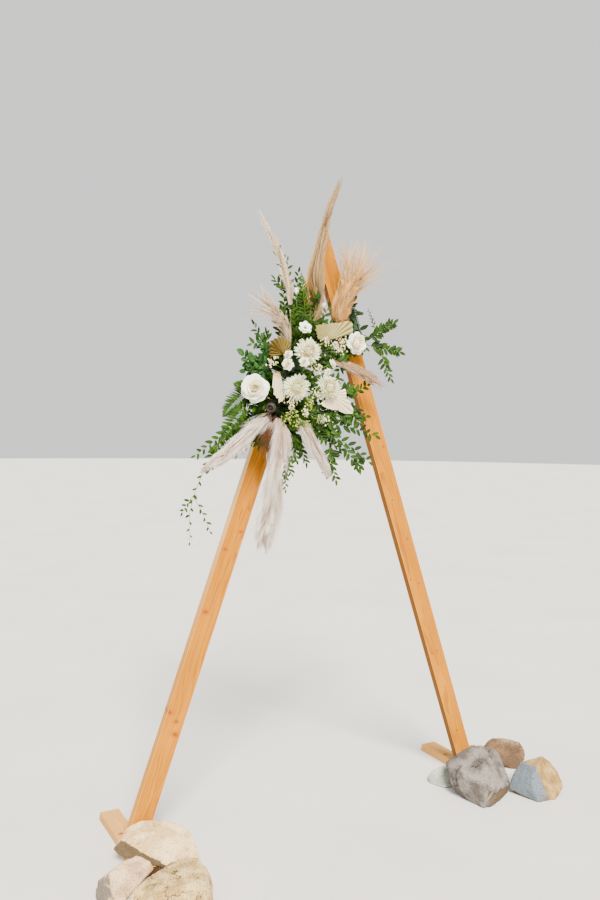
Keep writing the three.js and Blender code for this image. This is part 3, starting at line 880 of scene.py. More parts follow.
@dataclass
class Stone:
    """A broken field stone: chipped edges and a pitted skin on the stone's own corners."""

    replaced: str
    slot: str
    finish: FieldStone
    chip: float = 9 * MM
    pits: float = 5 * MM
    voxel: float = 5 * MM

    GROUND_GAP = 0.3 * MM
    BROAD, BROKEN, FINE = 14, 38, 120
    DEPTHS = (0.6, 0.9, 0.16)
    LEFT_PROUD = 0.15

    def build(self) -> bpy.types.Object:
        """Rounds the corners, then wears the skin back by layers of noise.

        Returns:
            The stone's piece.
        """
        bm = solid_of(self.replaced)
        ease(bm, bm.edges[:], self.chip, clamp=True)
        # An even mesh of small faces takes the wear without showing the solid's own triangles.
        rough = bpy.data.objects.new("rough", mesh_of("rough", bm))
        bpy.context.scene.collection.objects.link(rough)
        remesh = rough.modifiers.new("even", "REMESH")
        remesh.mode = "VOXEL"
        remesh.voxel_size = self.voxel
        even = rough.evaluated_get(bpy.context.evaluated_depsgraph_get())
        mesh = bpy.data.meshes.new_from_object(even)
        bpy.data.objects.remove(rough)
        places = np.empty(3 * len(mesh.vertices))
        mesh.vertices.foreach_get("co", places)
        places = places.reshape(-1, 3)
        normals = np.array([item.vector for item in mesh.vertex_normals])
        worn = np.array([self.wear(Vector(place)) for place in places])
        places -= normals * worn[:, None] * self.pits
        places[:, 2] = np.maximum(places[:, 2], self.GROUND_GAP)
        mesh.vertices.foreach_set("co", places.ravel())
        mesh.shade_smooth()
        piece = finished("weathered_" + self.replaced, mesh, self.finish.material())
        return stands_for(piece, self.slot, self.replaced)

    @classmethod
    def wear(cls, place: Vector) -> float:
        """Gives how far the skin is worn back at a place; below zero, it stands out.

        Args:
            place: The place on the stone.

        Returns:
            A number from about -0.5 to 1.
        """
        broad = noise.noise(place * cls.BROAD)
        broken = abs(noise.noise(place * cls.BROKEN))
        fine = noise.noise(place * cls.FINE)
        most, some, least = cls.DEPTHS
        return most * broad + some * broken + least * fine - cls.LEFT_PROUD


@dataclass(frozen=True)
class Cage:
    """A block of foam in a plastic cage, strapped to a leg's front; sizes in millimetres."""

    side: int
    level: float
    length: float
    width: float
    depth: float

    BURIED = 14

    def spot(self, along: float, across: float, out: float) -> np.ndarray:
        """Gives a place on the cage.

        Args:
            along: Millimetres up the leg from the cage's middle.
            across: Millimetres across the leg.
            out: Millimetres out from the leg's front.

        Returns:
            The place in the frame.
        """
        half_board = BOARD_WIDTH / MM / math.cos(TILT) / 2
        middle = self.side * (HALF_SPREAD * (1 - self.level / APEX) - half_board)
        sine, cosine = self.side * math.sin(TILT), math.cos(TILT)
        u = middle - along * sine + across * cosine
        z = self.level + along * cosine + across * sine
        return at((u, -out, z))

    def front(self, along: float, across: float, *points: Point) -> Route:
        """Returns the route of a stem that goes in at the front, through points of the arch."""
        return self.spot(along, across, self.depth - self.BURIED), *map(at, points)

    def flank(self, along: float, hand: int, out: float, *points: Point) -> Route:
        """Returns the route of a stem that goes in at a side."""
        return self.spot(along, hand * (self.width / 2 - self.BURIED), out), *map(at, points)

    def end(self, hand: int, across: float, out: float, *points: Point) -> Route:
        """Returns the route of a stem that goes in at an end."""
        return self.spot(hand * (self.length / 2 - self.BURIED), across, out), *map(at, points)


LEFT = Cage(-1, 1970, 340, 84, 74)
RIGHT = Cage(1, 2270, 200, 74, 58)


@dataclass
class FoamBlock:
    """The wet foam of a cage, with the cage's bars round it."""

    replaced: str
    foam: Speckled
    bars: float = 3.5 * MM
    mesh_gap: float = 34 * MM

    FOAM_GAP = 1.5

    def build(self) -> bpy.types.Object:
        """Makes the foam a little smaller than its cage and the cage from thin bars.

        Returns:
            The piece that stands for the block.
        """
        foam = solid_of(self.replaced)
        for vert in foam.verts:
            vert.co -= vert.normal * self.FOAM_GAP * self.bars
        # The cage's openings are cut by planes, and its edges then turned into bars.
        cage = solid_of(self.replaced)
        low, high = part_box(self.replaced)
        middle = (low + high) / 2
        for normal, reach in (((0, 1, 0), high.y - low.y), ((0, 0, 1), high.z - low.z)):
            cuts = int(reach / self.mesh_gap)
            for cut in range(1, cuts + 1):
                place = middle + Vector(normal) * reach * (cut / (cuts + 1) - 0.5)
                geometry = cage.verts[:] + cage.edges[:] + cage.faces[:]
                bmesh.ops.bisect_plane(cage, geom=geometry, plane_co=place, plane_no=normal)
        for vert in cage.verts:
            vert.co -= vert.normal * self.bars / 2
        bmesh.ops.wireframe(
            cage, faces=cage.faces[:], thickness=self.bars, use_replace=True, use_even_offset=False
        )
        both = Cluster()
        both.add(Shape.of(foam))
        both.add(Shape.of(cage))
        piece = both.build("foam_in_" + self.replaced, self.foam.material(), smooth=False)
        return stands_for(piece, "foam", self.replaced)


@dataclass
class TieHeads:
    """The heads and cut tails of the cable ties, at the legs' back; sizes in millimetres."""

    finish: Speckled
    head: Point = (9.0, 5.0, 7.0)
    tail: Point = (22.0, 1.4, 4.4)
    shift: float = 14.0
    eased: float = 0.5 * MM

    def build(self) -> bpy.types.Object:
        """Gives each tie its finish, and a head with its tail.

        Returns:
            The four heads as one piece.
        """
        heads = Cluster()
        nylon = self.finish.material()
        for name in TIES:
            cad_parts[name].material_slots[0].material = nylon
            low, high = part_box(name)
            middle = (low + high) / 2
            turn = Matrix.Rotation(TILT if name.startswith("left") else -TILT, 4, "Y")
            for size, shift in ((self.head, 0.0), (self.tail, self.shift)):
                bm = bmesh.new()
                bmesh.ops.create_cube(bm, size=1.0)
                bmesh.ops.scale(bm, verts=bm.verts[:], vec=Vector(size) * MM)
                ease(bm, bm.edges[:], self.eased)
                proud = Vector((shift * MM, self.head[1] / 2 * MM, 0))
                place = Matrix.Translation(Vector((middle.x, high.y, middle.z))) @ turn
                bmesh.ops.transform(bm, matrix=place @ Matrix.Translation(proud), verts=bm.verts[:])
                heads.add(Shape.of(bm))
        return stands_for(heads.build("tie_heads", nylon, smooth=False), "tie")


# Flowers.


@dataclass(frozen=True)
class Ring:
    """One ring of petals, in millimetres; its slopes, low and high up, are degrees off the stem."""

    count: int
    length: float
    width: float
    low: float
    high: float
    start: float = 4.0
    base: float = -8.0


@dataclass(frozen=True)
class Form:
    """A kind of flower head."""

    rings: tuple[Ring, ...]
    sheet: Shape
    narrow: float = 0.0
    wave: float = 0.0
    lap: float = 0.0
    stray: float = 0.08
    thickness: float = 0.7
    tip: float = 0.8
    curve: float = 0.0
    heart: float = 0.0


PETAL = slab(5, 6)
QUILL = slab(2, 4)

ROSE = Form(
    (
        Ring(3, 26, 30, 6, -18, 2, -2),
        Ring(4, 30, 34, 12, -12, 4, -4),
        Ring(5, 35, 40, 20, -4, 6, -6),
        Ring(5, 40, 46, 30, 6, 8, -8),
        Ring(5, 45, 54, 42, 18, 9, -10),
        Ring(5, 50, 62, 55, 36, 9, -11),
        Ring(5, 54, 68, 69, 62, 8, -12),
        Ring(5, 54, 68, 82, 92, 7, -13),
    ),
    PETAL,
    narrow=-0.2,
    wave=3.4,
    lap=0.16,
    stray=0.13,
    tip=0.72,
    curve=0.14,
)
CUP = Form(
    ROSE.rings[:6] + (Ring(6, 54, 50, 60, 56, 8, -12), Ring(6, 54, 48, 74, 80, 7, -13)),
    PETAL,
    narrow=-0.2,
    wave=3.4,
    lap=0.14,
    tip=0.7,
    curve=0.12,
)
LARGE_MUM = Form(
    tuple(
        Ring(*row)
        for row in (
            (9, 20, 12, 4, -46, 2, 17),
            (13, 25, 12, 8, -44, 5, 14),
            (16, 30, 11, 14, -40, 8, 11),
            (19, 33, 11, 22, -34, 10, 9),
            (20, 36, 10.5, 32, -26, 12, 6),
            (22, 39, 10.5, 42, -14, 12, 3),
            (24, 42, 10, 52, 2, 13, 0),
            (24, 44, 10, 62, 20, 13, -3),
            (24, 46, 9.5, 72, 40, 13, -6),
            (24, 49, 9, 82, 62, 13, -9),
            (22, 52, 8.5, 92, 84, 12, -11),
            (18, 50, 8, 100, 104, 11, -13),
        )
    ),
    QUILL,
    narrow=0.1,
    wave=1.6,
    stray=0.2,
    tip=0.86,
    heart=17.0,
)
SMALL_ROSE = Form(
    (
        Ring(3, 13, 13, 4, -16, 1, -2),
        Ring(4, 16, 16, 18, 0, 2, -3),
        Ring(5, 18, 19, 34, 16, 2.5, -4),
        Ring(5, 20, 22, 52, 44, 3, -5),
        Ring(6, 20, 22, 70, 78, 3, -6),
    ),
    PETAL,
    wave=0.7,
    lap=0.14,
    thickness=0.5,
)
OPEN_BELL = Form(
    (Ring(5, 29, 29, 42, 66, 3, -8), Ring(6, 31, 31, 58, 86, 3, -9)), PETAL, wave=1.6, lap=0.1
)
CLOSED_BUD = Form(
    (Ring(4, 30, 17, 16, -22, 3, -6), Ring(5, 33, 18, 24, -20, 4, -8)), PETAL, lap=0.2
)
SEED_CUPS = Form(
    tuple(
        Ring(count, 7, 6, low, low + 8, start, base)
        for count, low, start, base in (
            (5, 10, 4, 12),
            (9, 28, 9, 10),
            (13, 48, 13, 6),
            (15, 68, 15, 0),
            (15, 90, 15, -6),
            (12, 112, 13, -11),
        )
    ),
    PETAL,
    thickness=0.6,
)


@dataclass(frozen=True)
class Bloom:
    """One flower head on the end of a stem."""

    form: Form
    centre: np.ndarray
    way: np.ndarray
    size: float = 1.0

    SAMPLES = 17
    STAGGER, JITTER = 0.5, 0.2
    RING_SHADE, OWN_SHADE = 0.75, 0.25
    LONGEST = 1.06
    LEAN = 40.0
    BEND = 1.4
    ASIDE = (0.1, 0.2, 1.0)
    FULL_FROM = 0.12
    LEAST_RADIUS = 0.42
    HOLLOW = 0.1
    RUFFLES = 2.6

    def grow(self, cluster: Cluster, chance: random.Random) -> None:
        """Adds every petal, ring by ring.

        Args:
            cluster: The piece that the petals join.
            chance: The source of their small differences.
        """
        outermost = max(1, len(self.form.rings) - 1)
        for number, ring in enumerate(self.form.rings):
            for place in range(ring.count):
                spot = place + self.STAGGER * (number % 2) + self.JITTER * chance.random()
                surface = self.petal(ring, math.tau * spot / ring.count, chance)
                thickness = self.form.thickness * MM
                # The inner rings take the darker, creamier tone: the flower's own cream heart, with
                # painted shade deep in the head.
                shade = self.RING_SHADE * number / outermost + self.OWN_SHADE * chance.random()
                cluster.add(laid(self.form.sheet, surface, thickness), shade)
        if self.form.heart:
            ball = bead()
            middle = self.centre + self.way * 0.6 * self.form.heart * self.size * MM
            cluster.add(ball.moved(ball.points * self.form.heart * self.size * MM + middle), 0.2)

    def petal(self, ring: Ring, turn: float, chance: random.Random) -> Surface:
        """Shapes one petal.

        Args:
            ring: The ring that it belongs to.
            turn: Where it stands round the head.
            chance: The source of its small differences.

        Returns:
            The petal's surface.
        """
        scale = self.size * MM
        length = ring.length * chance.uniform(1 - self.form.stray, self.LONGEST)
        steps = np.linspace(0, 1, self.SAMPLES)
        # A petal leaves the stem at one slope and bends to another on its way out.
        lean = chance.gauss(0, self.LEAN * self.form.stray)
        slope = np.radians(ring.low + lean + (ring.high - ring.low) * steps**self.BEND)
        out = ring.start + np.cumsum(np.sin(slope)) * length / self.SAMPLES
        rise = ring.base + np.cumsum(np.cos(slope)) * length / self.SAMPLES
        across, up, outward = axes(self.way, self.ASIDE)
        phase, form = chance.uniform(0, 6), self.form

        def surface(s: np.ndarray, t: np.ndarray) -> np.ndarray:
            """Gives the points of the petal.

            Args:
                s: How far across they are, from -1 to 1.
                t: How far along they are, from 0 to 1.

            Returns:
                The points.
            """
            # It is full in its middle, wraps the head, laps its neighbour and ruffles at its rim.
            full = np.sin(np.pi * np.clip(self.FULL_FROM + form.tip * t, 0, 1))
            half = ring.width / 2 * full ** (0.5 + form.narrow) * s
            t = t * (1 - form.curve * s * s)
            r = np.interp(t, steps, out)
            angle = turn + half / np.maximum(np.abs(r), self.LEAST_RADIUS * ring.width)
            r = r + form.lap * ring.width * s * t * 0.5
            h = np.interp(t, steps, rise) - self.HOLLOW * ring.length * (s * t) ** 2
            h = h + form.wave * t * np.sin(self.RUFFLES * s + phase)
            spread = np.cos(angle)[:, None] * across + np.sin(angle)[:, None] * outward
            return self.centre + (spread * r[:, None] + up * h[:, None]) * scale

        return surface


@dataclass(frozen=True)
class Stem:
    """A stem from its buried end to its head: the head's form, its size and where it looks."""

    route: Route
    form: Form
    radius: float = 2.5
    size: float = 1.0
    toward: Point | None = None


@dataclass
class Flower:
    """A flower on its stem, or several on one that branches."""

    replaced: str
    slot: str
    finish: Leaf
    stems: tuple[Stem, ...]

    CUP = (-9 * MM, 5 * MM)

    def build(self) -> None:
        """Grows the stems with their green cups, and the petals."""
        chance = random.Random(self.replaced)
        petals, stalks = Cluster(), Cluster()
        fork = Path(self.stems[0].route).at(0.5)
        for number, stem in enumerate(self.stems):
            path = Path(stem.route if number == 0 else (fork, *stem.route))
            way = unit(stem.toward) if stem.toward else path.way(1.0)
            head = path.at(1.0)
            bloom = Bloom(stem.form, head, way, stem.size)
            bloom.grow(petals, chance)
            radius = stem.radius * MM
            lowest = min(ring.base for ring in stem.form.rings) * stem.size * MM
            widest = (2 + max(ring.start for ring in stem.form.rings)) * stem.size * MM
            stalks.add(tube(path, (radius, radius)), chance.random())
            cup = Path([head + way * (lowest + reach) for reach in self.CUP])
            stalks.add(tube(cup, (radius, 0.8 * widest, widest)), chance.random())
        piece = petals.build("petals_" + self.replaced, self.finish.material())
        stands_for(piece, self.slot, self.replaced)
        stands_for(stalks.build("stem_" + self.replaced, STEM_GREEN.material()), "leaf")


@dataclass
class Pod:
    """A dried pod: ribbed, open at the top round a knob, on its stem."""

    replaced: str
    route: Route
    finish: Speckled
    profile: tuple[tuple[float, float], ...] = (
        (0, -20), (6, -19), (15, -13), (22, -3), (23.5, 7), (20, 15), (16, 20),
        (13, 19), (13, 12), (7, 9), (6, 14), (0, 16),
    )
    ribs: int = 9

    def build(self) -> bpy.types.Object:
        """Spins the pod's outline and presses its ribs in.

        Returns:
            The pod with its stem.
        """
        path = Path(self.route)
        bm = bmesh.new()
        verts = [bm.verts.new((r * MM, 0, z * MM)) for r, z in self.profile]
        edges = [bm.edges.new(pair) for pair in zip(verts, verts[1:])]
        full = {"cent": (0, 0, 0), "axis": (0, 0, 1), "angle": math.tau, "use_merge": True}
        bmesh.ops.spin(bm, geom=verts + edges, steps=4 * self.ribs, **full)
        bmesh.ops.remove_doubles(bm, verts=bm.verts[:], dist=MERGED)
        for vert in bm.verts:
            turn = math.atan2(vert.co.y, vert.co.x)
            vert.co.xy *= 1 - 0.06 * (1 + math.cos(self.ribs * turn)) / 2
        bmesh.ops.recalc_face_normals(bm, faces=bm.faces[:])
        across, up, outward = axes(path.way(1.0), UP)
        shape = Shape.of(bm)
        turned = shape.points @ np.array((across, outward, up))
        both = Cluster()
        both.add(shape.moved(turned + path.at(1.0)))
        both.add(tube(path, (3 * MM, 2.6 * MM)))
        piece = both.build("ribbed_" + self.replaced, self.finish.material())
        return stands_for(piece, "pod", self.replaced)


# Palm fans, plumes and leaves.


@dataclass
class PalmFan:
    """A dried palm leaf cut to a fan: pleats that open from a stalk; sizes in millimetres."""

    replaced: str
    slot: str
    finish: Leaf
    route: Route
    direction: Point
    length: float
    near: float
    far: float
    pleats: int
    fold: float = 0.42
    notch: float = 7.0
    cut: tuple[float, ...] = (1.0, 1.0)

    THICKNESS = 0.7 * MM
    CREASE = (0.75, 1.2)

    def build(self) -> bpy.types.Object:
        """Folds the blade and sets it on its stalk.

        Returns:
            The fan.
        """
        chance = random.Random(self.replaced)
        path = Path(self.route)
        start = path.at(1.0)
        across, along, outward = axes(self.direction)
        spread = (self.far - self.near) / self.length
        root = self.near / spread
        columns = 2 * self.pleats
        stations = np.linspace(-1, 1, columns + 1)
        hills = np.arange(columns + 1) % 2
        ends = np.array([chance.uniform(-self.notch, 0) - self.notch * hill for hill in hills])
        creases = np.array([chance.uniform(*self.CREASE) * (1 if hill else -1) for hill in hills])

        def surface(s: np.ndarray, t: np.ndarray) -> np.ndarray:
            """Gives the points of the folded blade.

            Args:
                s: How far across they are, from -1 to 1.
                t: How far along they are, from 0 to 1.

            Returns:
                The points.
            """
            end = np.interp(s, stations, ends)
            length = self.length * np.interp(s, np.linspace(-1, 1, len(self.cut)), self.cut)
            reach = root + t * (length + end * t)
            turn = s / 2 * spread
            lift = self.fold * np.interp(s, stations, creases) * reach * spread / columns
            flat = np.stack([reach * np.sin(turn), reach * np.cos(turn) - root, lift], axis=1)
            return start + flat @ np.array((across, along, outward)) * MM

        both = Cluster()
        folded = laid(slab(columns, 6), surface, self.THICKNESS)
        # Painted shade: each pleat's valleys are darkened, least at the stalk and more further out.
        valley = np.interp(folded.across, stations, creases < 0)
        both.add(folded, 1.0 - 0.9 * valley * folded.along**0.3)
        both.add(tube(Path((*self.route, start + along * 10 * MM)), (2.6 * MM, 2.2 * MM)), 0.2)
        piece = both.build("blade_" + self.replaced, self.finish.material(), smooth=False)
        return stands_for(piece, self.slot, self.replaced)


class Outline(Enum):
    """How wide a plume is along its length: parts of its half width, by parts of its length."""

    FULL = (
        (0, 0.05, 0.18, 0.38, 0.58, 0.8, 0.94, 1.1),
        (0.2, 0.5, 0.85, 1, 0.95, 0.72, 0.45, 0.1),
    )
    BRUSH = ((0, 0.08, 0.25, 0.5, 0.75, 1.1), (0.35, 0.6, 0.72, 0.8, 1.0, 1.35))
    SLENDER = (
        (0, 0.06, 0.16, 0.3, 0.45, 0.7, 0.92, 1.1),
        (0.2, 0.75, 1, 0.85, 0.56, 0.38, 0.22, 0.03),
    )
    BUSH = ((0, 0.1, 0.3, 0.5, 0.75, 1.1), (0.55, 0.72, 0.7, 0.8, 1.0, 1.35))
    TORN = ((0, 0.05, 0.15, 0.4, 0.7, 0.85, 1.1), (0.3, 0.6, 0.86, 1, 0.98, 0.95, 0.36))


@dataclass
class Plume:
    """A plume of dried pampas: locks of fine hairs round a bending stem; sizes in millimetres."""

    replaced: str
    slot: str
    finish: Feather
    route: Route
    width: float
    start: float
    outline: Outline = Outline.FULL
    stem: float = 2.5
    locks: int = 64
    hairs: int = 44
    thinning: float = 1.0
    hair: float = 0.55
    reach: float = 105.0
    strays: int = 14
    stray_open: float = 1.5
    stray_curl: float = 12.0
    stray_reach: float = 1.4
    end: float = 1.0
    flat: float = 0.62

    WISP = 5
    LONGEST = 0.34
    EARLY, LATE = 0.45, 1.2
    STRAY_RADIUS = 2.3
    LOCK_OPEN, LOCK_REACH = (0.03, 1.3), (0.8, 1.25)
    ROOT_APART, TURN_APART, SHADE_APART = 0.16, 0.17, 0.1
    OPEN_APART, REACH_APART = (0.78, 1.05), (0.75, 1.1)
    CURL, WISP_CURL = 2.0 * MM, 1.2 * MM
    END_FROM, END_APART = 0.84, 0.2
    SHORTEST = 0.4
    WAVE, SAG = 0.5, 0.15

    def build(self) -> bpy.types.Object:
        """Grows the stem, the locks and a few stray wisps.

        Returns:
            The plume.
        """
        dice = np.random.default_rng(random.Random(self.replaced).randrange(2**31))
        path = Path(self.route)
        plume = Cluster()
        plume.add(tube(path, (self.stem * MM, self.stem * MM, 0.6 * MM)), 0.2)
        length = path.length * (1 - self.start) / MM
        reach = min(self.LONGEST, self.reach / length)
        count, total = self.locks, self.locks * self.hairs
        lock = {
            "root": (1 + 0.5 * reach) * np.linspace(0, 1, count) ** self.thinning - 0.5 * reach,
            "turn": dice.uniform(0, math.tau, count),
            "open": np.sqrt(dice.uniform(*self.LOCK_OPEN, count)),
            "reach": reach * dice.uniform(*self.LOCK_REACH, count),
            "shade": dice.uniform(0, 1, count),
        }
        hair = {key: np.repeat(values, self.hairs) for key, values in lock.items()}
        # A lock's hairs start, turn, open and end a little apart from one another.
        hair["root"] += dice.normal(0, self.ROOT_APART * reach, total)
        hair["turn"] += dice.normal(0, self.TURN_APART, total)
        hair["open"] *= dice.uniform(*self.OPEN_APART, total)
        hair["reach"] *= dice.uniform(*self.REACH_APART, total)
        shades = hair["shade"] + dice.normal(0, self.SHADE_APART, total)
        hair["shade"] = np.clip(shades, 0, 1)
        hair["curl"] = dice.normal(0, self.CURL, (total, 3))
        plume.add(*self.grow(path, hair, self.hair * MM, self.EARLY, self.end))
        # Strays are wisps of a few hairs, thicker, paler, and further out than the locks.
        count = self.strays * self.WISP
        stray = {key: np.repeat(dice.uniform(0, 1, self.strays), self.WISP) for key in lock}
        stray["root"] = stray["root"] * 0.8 * self.end + dice.uniform(0, 0.03, count)
        stray["turn"] = stray["turn"] * math.tau + dice.uniform(-0.1, 0.1, count)
        stray["open"] = self.stray_open * (0.35 + 0.9 * stray["open"]) + dice.normal(0, 0.03, count)
        stray["reach"] = reach * self.stray_reach * (0.7 + 0.6 * stray["reach"])
        stray["reach"] *= dice.uniform(0.9, 1, count)
        stray["shade"] = 0.6 + 0.4 * stray["shade"]
        curls = dice.normal(0, self.stray_curl * MM, (self.strays, 3))
        own = dice.normal(0, self.WISP_CURL, (count, 3))
        stray["curl"] = np.repeat(curls, self.WISP, axis=0) + own
        plume.add(*self.grow(path, stray, self.STRAY_RADIUS * self.hair * MM, self.LATE, 1.0))
        piece = plume.build("hairs_" + self.replaced, self.finish.material())
        return stands_for(piece, self.slot, self.replaced)

    def grow(
        self,
        path: Path,
        hair: dict[str, np.ndarray],
        radius: float,
        early: float,
        end: float,
    ) -> tuple[Shape, np.ndarray]:
        """Makes hairs that leave the stem, open outward and run on along it.

        Args:
            path: The stem.
            hair: Each hair's root and reach along the plume, its turn round it, how far it opens,
                its curl and its shade.
            radius: Their radius at the root.
            early: How soon they open: under 1 near the root, over 1 near the end.
            end: How far along the plume they may reach, as part of its length.

        Returns:
            The hairs and the shade of each point.
        """
        t = THREAD.points[:, 2]
        farthest = end * (self.END_FROM + self.END_APART * hair["shade"])
        last = np.minimum(hair["root"] + hair["reach"], farthest)
        root = np.minimum(hair["root"], last - self.SHORTEST * hair["reach"])
        station = root[:, None] + (last - root)[:, None] * t
        on_stem = self.start + (1 - self.start) * station
        inside = np.clip(on_stem, 0.0, 1.0)
        middle = path.at(inside)
        along = path.way(inside)
        middle = middle + along * ((on_stem - inside) * path.length)[..., None]
        across = unit(np.cross(along, FRONT))
        outward = np.cross(across, along)
        # Each hair leaves the stem sideways, curls, and sags a little under its own weight.
        half = self.width / 2 * MM * np.interp(station, *self.outline.value)
        half = half * hair["open"][:, None] * np.clip(t, 0, 1) ** early
        turn = hair["turn"][:, None]
        middle = middle + across * (half * np.cos(turn))[..., None]
        middle = middle + outward * (half * np.sin(turn) * self.flat)[..., None]
        bend = hair["curl"][:, None, :] * (t**2 + self.WAVE * np.sin(math.tau * t))[..., None]
        middle = middle + bend - UP * (self.SAG * half * t)[..., None]
        section = across * THREAD.points[:, 0:1] + outward * THREAD.points[:, 1:2]
        shape = copies(THREAD, middle + section * radius)
        return shape, np.repeat(hair["shade"], len(THREAD.points))


def blade(
    length: float, width: float, widest: float, point: float, fold: float, curl: float
) -> Surface:
    """Gives a leaf's surface on its own axes: X across, Y along and Z out.

    Args:
        length: Its length.
        width: Its width.
        widest: Where it is widest, as part of its length.
        point: How pointed its ends are, from 0.4, round, to 1, sharp.
        fold: How far its halves are folded up along the midrib.
        curl: How far its tip curls back.

    Returns:
        The surface.
    """

    def surface(s: np.ndarray, t: np.ndarray) -> np.ndarray:
        """Gives the points of the leaf.

        Args:
            s: How far across they are, from -1 to 1.
            t: How far along they are, from 0 to 1.

        Returns:
            The points.
        """
        t = np.clip(t, 0, 1)
        skew = t ** (math.log(0.5) / math.log(widest))
        half = width / 2 * np.maximum(np.sin(np.pi * (0.02 + 0.96 * skew)), 0) ** point
        lift = fold * np.abs(s) * half - curl * length * t * t
        return np.stack([s * half, length * t * (1 - 0.3 * curl * t), lift], axis=1)

    return surface


LEAF_SHEET = slab(4, 5)
PINNA_SHEET = slab(2, 3)
LEAF_THICKNESS = 0.45 * MM


@dataclass(frozen=True)
class Twig:
    """One leafy stem: its route, the leaves' number and size in millimetres, and how they stand."""

    route: Route
    count: int
    length: float
    width: float
    start: float = 0.3
    spread: float = 0.9
    taper: float = 0.6


